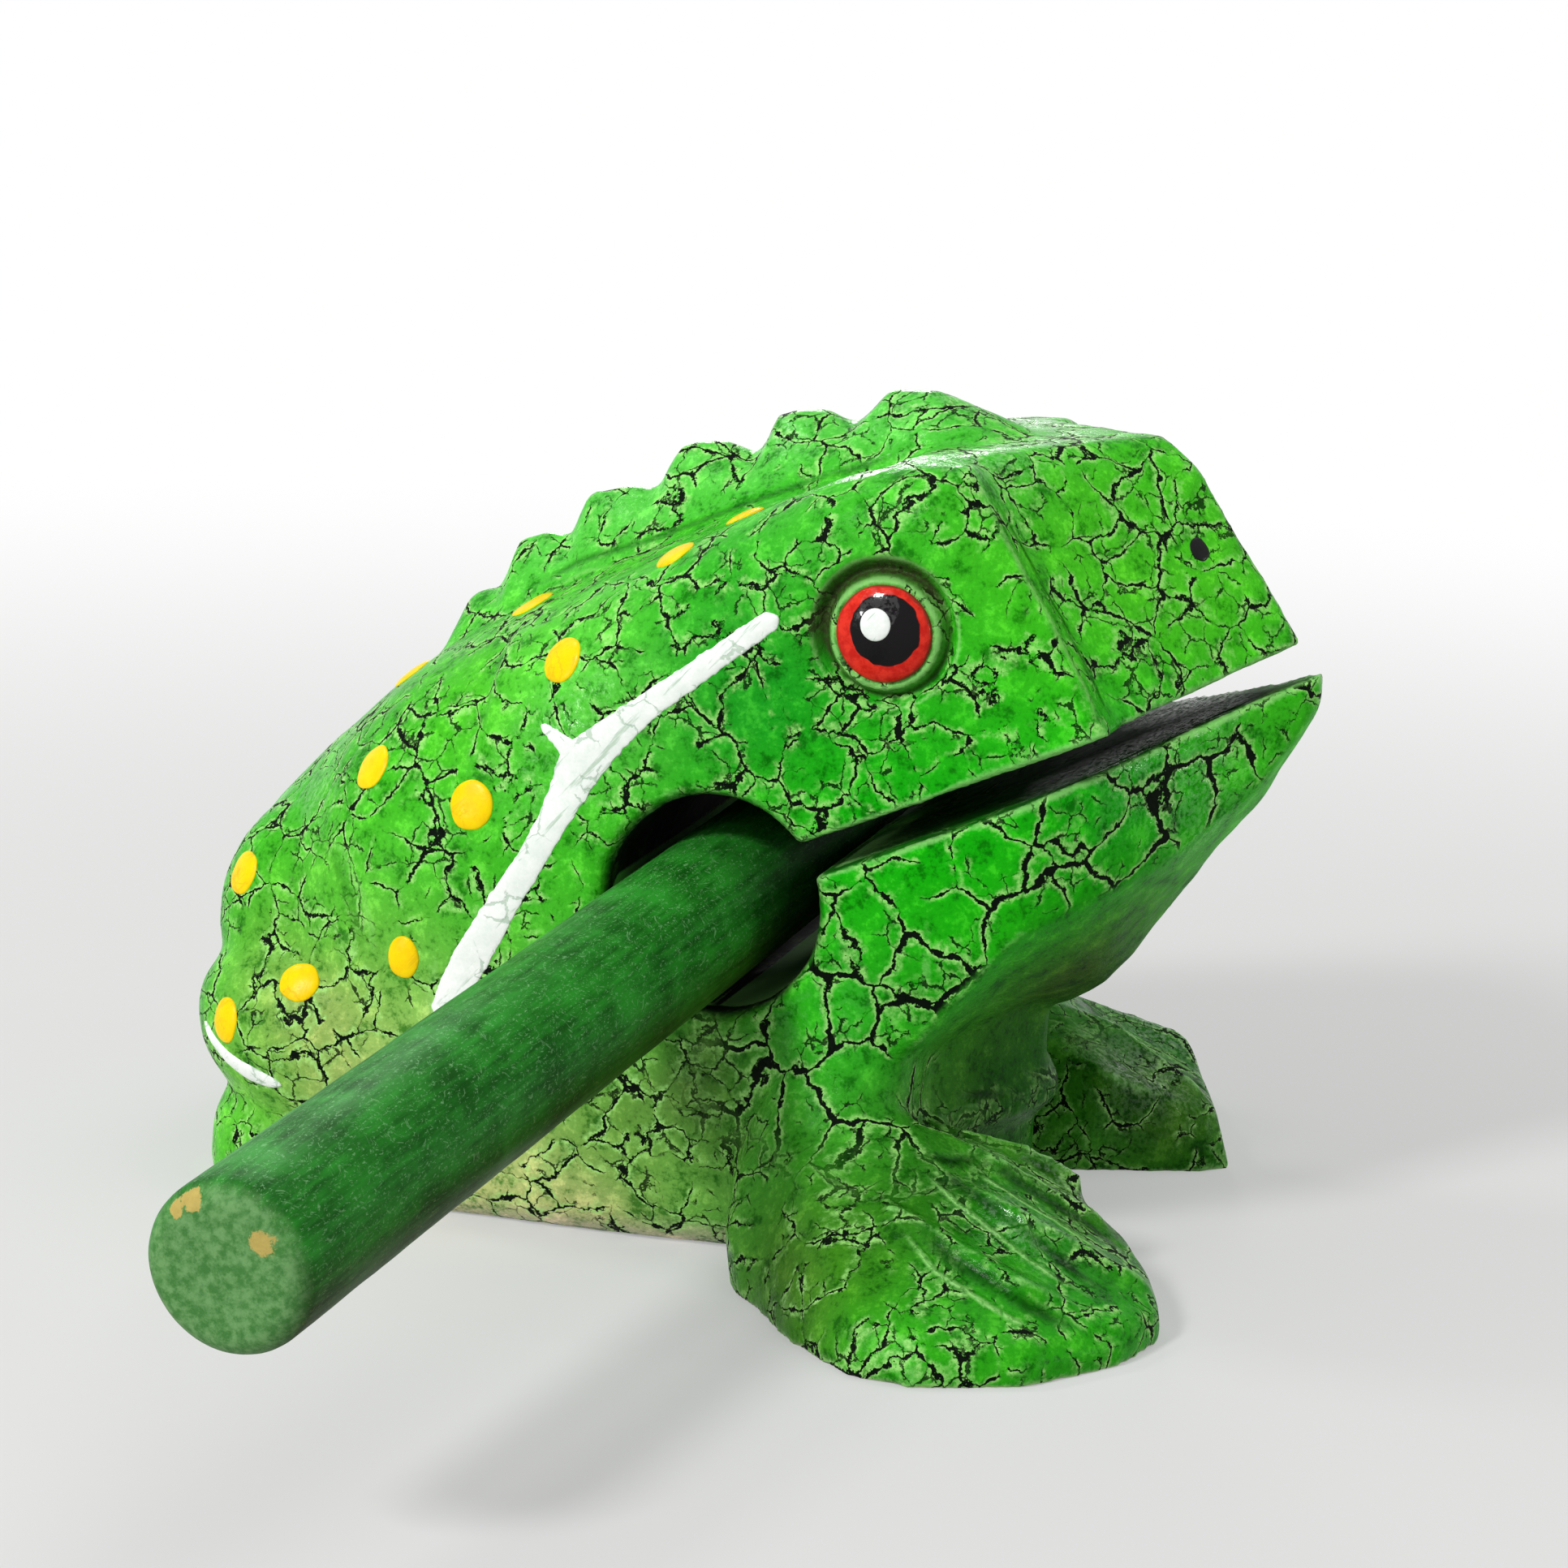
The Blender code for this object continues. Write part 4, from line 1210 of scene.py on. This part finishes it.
FLANK_STROKE = (
    # u, v in the photograph, half width in mm, as in the strokes below
    (959, 760, 0.60),
    (944, 768, 0.76),
    (900, 799, 0.80),
    (865, 824, 0.85),
    (804, 866, 0.95),
    (752, 907, 1.35),
    (716, 940, 1.85),
    (695, 983, 1.40),
    (677, 1019, 1.15),
    (652, 1063, 1.10),
    (627, 1102, 1.15),
    (604, 1141, 1.30),
    (580, 1181, 1.40),
    (560, 1219, 1.30),
    (540, 1257, 0.90),
)
BRANCH_STROKE = (
    (718, 942, 1.00),
    (702, 924, 0.85),
    (686, 909, 0.55),
    (668, 893, 0.25),
)
THIGH_STROKE = (
    (254, 1258, 0.30),
    (262, 1280, 0.50),
    (280, 1302, 0.62),
    (306, 1321, 0.75),
    (330, 1332, 0.62),
    (347, 1337, 0.30),
)
bm = bmesh.new()
for pixels, count, height, rough_edge in (
    (FLANK_STROKE, 200, STRIPE_HEIGHT, 0.20 * MM),
    (BRANCH_STROKE, 40, STRIPE_HEIGHT * 0.8, 0.22 * MM),
    (THIGH_STROKE, 40, STRIPE_HEIGHT, 0.08 * MM),
):
    near_line = eased(line_on_wood(pixels, count), 3)
    for line in (near_line, [(twin(place), half) for place, half in near_line]):
        add_stroke(bm, line, height, rough_edge)
tidy_mesh(bm, "white_stripes", WHITE)
print("last stroke's rings:", len(near_line))

# %% [markdown]
# ## Eyes
# The button of each eye is painted in layers: a red disc, a black pupil a little forward of its
# middle, and a white glint. The discs are bounded by the distance from the eye's axis, with a brush's
# wobble. The glint is a thick drop, so it is a piece of its own that stands on the pupil.

# %% Painted eyes
EYE_RED = 3.67 * MM
PUPIL = 2.66 * MM
PUPIL_SHIFT = (0.30 * MM, 0.42 * MM)
GLINT = 1.17 * MM
GLINT_SHIFT = (-0.42 * MM, 0.80 * MM)
VARNISH = 1.5 * MM
VARNISH_SHIFT = (-0.2 * MM, 2.0 * MM)
EYE_BULGE = 1.15 * MM
EYE_BACK_Y = CHEEK_Y + 0.12 * MM


def eye_material():
    made, tree, shader = new_material("eye_enamel", (0.78, 0.05, 0.03), 0.16)
    place = place_in_mm(tree)
    flat = vector_node(tree, "MULTIPLY", place, (1.0, 0.0, 1.0))
    wobble = math_node(tree, "SUBTRACT", noise_value(tree, flat, 0.75), 0.5)
    wobble = times(tree, wobble, 0.55)

    def ring(shift, radius):
        """1 within the radius of a point shifted from the eye's middle, 0 outside."""
        centre = ((EYE_X + shift[0]) / MM, 0.0, (EYE_Z + shift[1]) / MM)
        reach = plus(tree, vector_node(tree, "DISTANCE", flat, centre), wobble)
        return ramp_between(tree, reach, radius / MM - 0.04, radius / MM + 0.04, 1.0, 0.0)

    mottle = ramp_between(tree, noise_value(tree, place, 1.6, 3.0, 0.6), 0.35, 0.65)
    red = blend_colour(tree, mottle, (0.56, 0.016, 0.010), (0.74, 0.036, 0.020))
    edge = ring((0.0, 0.0), EYE_RED - 0.12 * MM)
    red = blend_colour(tree, edge, (0.30, 0.035, 0.02), red)
    pupil = ring(PUPIL_SHIFT, PUPIL)
    whole = blend_colour(tree, pupil, red, (0.010, 0.009, 0.010))
    wire(tree, whole, shader.inputs["Base Color"])
    quick = noise_value(tree, place, 3.4)
    varnish = ring(VARNISH_SHIFT, VARNISH)
    varnish = times(tree, varnish, ramp_between(tree, quick, 0.40, 0.52))
    wire(tree, varnish, shader.inputs["Coat Weight"])
    shader.inputs["Coat Roughness"].default_value = 0.06
    shader.inputs["Specular IOR Level"].default_value = 0.06
    add_bump(tree, shader, plus(tree, quick, times(tree, pupil, 0.9)), 0.5, 0.05 * MM)
    return made


def add_lens(bm, sides, rings, size, place, side):
    """Ball flattened to the size, turned to face the side. Gives its points."""
    made = bmesh.ops.create_uvsphere(bm, u_segments=sides, v_segments=rings, radius=1.0)["verts"]
    lie_down = Matrix.Rotation(math.radians(90) * side, 4, "X")
    where = Matrix.Translation(place) @ lie_down @ Matrix.Diagonal((*size, 1.0))
    bmesh.ops.transform(bm, matrix=where, verts=made)
    return made


def add_eye(bm, side):
    """Low dome of paint on the button, closed underneath."""
    add_lens(bm, 72, 36, (EYE_RED, EYE_RED, EYE_BULGE), (EYE_X, side * EYE_BACK_Y, EYE_Z), side)


def add_glint(bm, side):
    """Thick drop that stands on the dome of the eye."""
    place = (EYE_X + GLINT_SHIFT[0], 0.0, EYE_Z + GLINT_SHIFT[1])
    for vert in add_lens(bm, 40, 16, (GLINT, GLINT * 1.04, 0.20 * MM), place, side):
        reach = math.hypot(vert.co.x - EYE_X, vert.co.z - EYE_Z) / EYE_RED
        vert.co.y += side * (EYE_BACK_Y + EYE_BULGE * math.sqrt(max(0.0, 1 - reach * reach)))


enamel = eye_material()
for side, name in ((-1, "right"), (1, "left")):
    for label, add, material in (("eye_", add_eye, enamel), ("glint_", add_glint, WHITE)):
        bm = bmesh.new()
        add(bm, side)
        tidy_mesh(bm, label + name, material)
print("eyes done")

# %% [markdown]
# ## The striker stick
# A plain turned dowel, stained green and rubbed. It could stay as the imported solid, but its ends
# show small chips of bare wood and its edges are worn round, so it is a finer cylinder: extruded
# in short lengths, its rims bevelled, and dented a little at the chips. Its grain runs along it, so
# each point keeps its place on the straight dowel for the material to read.

# %% Stick body
FLANK_Y = 21.5 * MM
STICK_RADIUS = 5.65 * MM
STICK_GAP = 0.3 * MM
STICK_OUT = 71.0 * MM
STICK_THROUGH = 14.0 * MM
STICK_END_ROUND = 1.6 * MM

shift = (BORE_RADIUS - STICK_RADIUS - STICK_GAP) / math.sqrt(2)
near_point = Vector((BORE_X - shift, -FLANK_Y, BORE_Z - shift))
far_point = Vector((BORE_X + shift, FLANK_Y, BORE_Z + shift))
outward = (near_point - far_point).normalized()
stick_length = STICK_OUT + 2 * FLANK_Y / -outward.y + STICK_THROUGH
stick_turn = Vector((0, 0, 1)).rotation_difference(outward).to_matrix().to_4x4()
stick_place = Matrix.Translation(near_point + outward * (STICK_OUT - stick_length / 2)) @ stick_turn
stick_inverse = stick_place.inverted()


def stick_local(u, v):
    """Where a line of sight meets the outer end face, on the straight dowel."""
    start = stick_inverse @ CAMERA_PLACE
    direction = stick_inverse.to_3x3() @ sight(u, v)
    return start + direction * ((stick_length / 2 - start.z) / direction.z)


NEAR_CHIPS = ((196, 1463, 1.0), (232, 1476, 1.25), (326, 1531, 1.35))  # u, v, size in mm
FAR_CHIPS = ((4.2, 3.1, 1.3), (-3.4, 4.0, 0.9))  # x, y on the end face and size in mm
chips = []
for u, v, size in NEAR_CHIPS:
    spot = stick_local(u, v)
    reach = min(1.0, (STICK_RADIUS - 0.6 * MM) / math.hypot(spot.x, spot.y))
    chips.append((Vector((spot.x * reach, spot.y * reach, stick_length / 2 - 0.35 * MM)), size * MM))
for x, y, size in FAR_CHIPS:
    chips.append((Vector((x * MM, y * MM, 0.4 * MM - stick_length / 2)), size * MM))
print("stick length in mm:", round(stick_length / MM, 1), "chips:", len(chips))

# %% Dowel mesh
END_LENGTH = 2.4 * MM
LENGTHS = 124


def cap_faces(bm):
    return [face for face in bm.faces if len(face.verts) > 4]


bm = bmesh.new()
steps = [(stick_length - 2 * END_LENGTH) / LENGTHS] * LENGTHS
tube = add_tube(bm, 96, STICK_RADIUS, [END_LENGTH] + steps + [END_LENGTH])
bmesh.ops.translate(bm, vec=(0, 0, -stick_length / 2), verts=tube)
bmesh.ops.bevel(
    bm,
    geom=[edge for face in cap_faces(bm) for edge in face.edges],
    offset=STICK_END_ROUND,
    offset_type="OFFSET",
    affect="EDGES",
    segments=6,
    profile=0.5,
    material=-1,
)
for _ in range(6):
    bmesh.ops.inset_region(bm, faces=cap_faces(bm), thickness=0.62 * MM, use_even_offset=True)
bmesh.ops.poke(bm, faces=cap_faces(bm))
bmesh.ops.recalc_face_normals(bm, faces=bm.faces)
print("dowel faces:", len(bm.faces))

# %% Wear on the dowel
straight = []
bare = []
for vert in bm.verts:
    place = vert.co.copy()
    chipped = max(1 - (place - spot).length / size for spot, size in chips)
    chipped += 0.35 * noise.noise(place * 1500.0)
    worn = 0.05 * noise.noise(place / (6 * MM)) + 0.02 * noise.noise(place / (1.6 * MM))
    straight.append(place / MM)
    bare.append(chipped)
    inward = Vector((place.x, place.y, 0.0))
    if inward.length > 1e-6:
        vert.co += inward.normalized() * (worn * MM - 0.16 * MM * max(0.0, min(1.0, chipped * 3)))
bmesh.ops.transform(bm, matrix=stick_place, verts=bm.verts)
print("worn points:", sum(value > 0 for value in bare))


# %% Stain material
STAIN_DARK = (0.003, 0.065, 0.003)
STAIN_LIGHT = (0.024, 0.270, 0.022)
STAIN_RUBBED = (0.25, 0.53, 0.24)


def stick_material():
    made, tree, shader = new_material("dark_green_stain", (0.03, 0.24, 0.035), 0.45)
    grain = attribute(tree, "straight", "Vector")
    along = vector_node(tree, "MULTIPLY", grain, (1.0, 1.0, 0.09))
    fibre = noise_value(tree, along, 1.9, 4.0, 0.65)
    cloud = noise_value(tree, grain, 0.16, 3.0, 0.6)
    speck_place = vector_node(tree, "MULTIPLY", grain, (1.0, 1.0, 0.45))
    speck = noise_value(tree, speck_place, 5.2, 3.0, 0.7)
    drift = vector_node(tree, "SCALE", noise_value(tree, grain, 0.5, 1.0, output="Color"), scale=3.0)
    slant = vector_node(tree, "ADD", grain, drift)
    hair_place = vector_node(tree, "MULTIPLY", slant, (2.6, 2.6, 0.55))
    hair = noise_value(tree, hair_place, 1.6, 3.0, 0.75)

    tone = total(tree, (fibre, 0.45), (cloud, 0.55))
    stain = blend_colour(tree, ramp_between(tree, tone, 0.34, 0.66), STAIN_DARK, STAIN_LIGHT)
    flecks = times(tree, ramp_between(tree, speck, 0.57, 0.70), 0.55)
    scratches = times(tree, ramp_between(tree, hair, 0.57, 0.68), 0.45)
    pale = math_node(tree, "MAXIMUM", flecks, scratches)
    stain = blend_colour(tree, pale, stain, STAIN_RUBBED)
    # Painted shade: the stain turns darker and browner on the downward side of the stick.
    underside_shade = blend_colour(tree, 1.0, stain, (0.45, 0.30, 0.18), "MULTIPLY")
    underside_shade = blend_colour(tree, 1.0, underside_shade, (0.006, 0.003, 0.0), "ADD")
    stain = blend_colour(tree, attribute(tree, "under"), stain, underside_shade)

    end = node(tree, "ShaderNodeSeparateXYZ")
    wire(tree, grain, end.inputs[0])
    half = stick_length / MM / 2
    at_end = ramp_between(tree, math_node(tree, "ABSOLUTE", end.outputs["Z"]), half - 1.5, half - 0.1)
    end_grain = ramp_between(tree, noise_value(tree, grain, 1.4, 4.0, 0.7), 0.35, 0.65)
    end_colour = blend_colour(tree, end_grain, (0.055, 0.190, 0.045), (0.155, 0.330, 0.120))
    stain = blend_colour(tree, times(tree, at_end, 0.9), stain, end_colour)
    ragged = times(tree, math_node(tree, "SUBTRACT", speck, 0.5), 0.5)
    chip = ramp_between(tree, plus(tree, attribute(tree, "bare"), ragged), 0.30, 0.42)
    bare_wood = blend_colour(tree, fibre, (0.33, 0.25, 0.06), (0.55, 0.43, 0.13))
    wire(tree, blend_colour(tree, chip, stain, bare_wood), shader.inputs["Base Color"])
    shader.inputs["Specular IOR Level"].default_value = 0.06
    wire(tree, ramp_between(tree, tone, 0.3, 0.7, 0.52, 0.40), shader.inputs["Roughness"])
    relief = math_node(tree, "SUBTRACT", times(tree, fibre, 0.8), times(tree, pale, 0.5))
    add_bump(tree, shader, relief, 0.5, 0.06 * MM)
    return made


stick_mesh = bpy.data.meshes.new("striker")
bm.to_mesh(stick_mesh)
bm.free()
layer = stick_mesh.attributes.new("straight", "FLOAT_VECTOR", "POINT")
layer.data.foreach_set("vector", np.array(straight, np.float32).ravel())
store(stick_mesh, "bare", np.array(bare))
# Share of painted shade at each point, rising as the surface faces down.
store(stick_mesh, "under", smooth_step(-normals_of(stick_mesh)[:, 2], -0.40, 0.45))
stick_mesh.shade_smooth()
striker = placed("striker", stick_mesh)
stick_mesh.materials.append(stick_material())
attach(striker, "root")
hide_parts("striker_stick")
print("stick vertices:", len(stick_mesh.vertices))
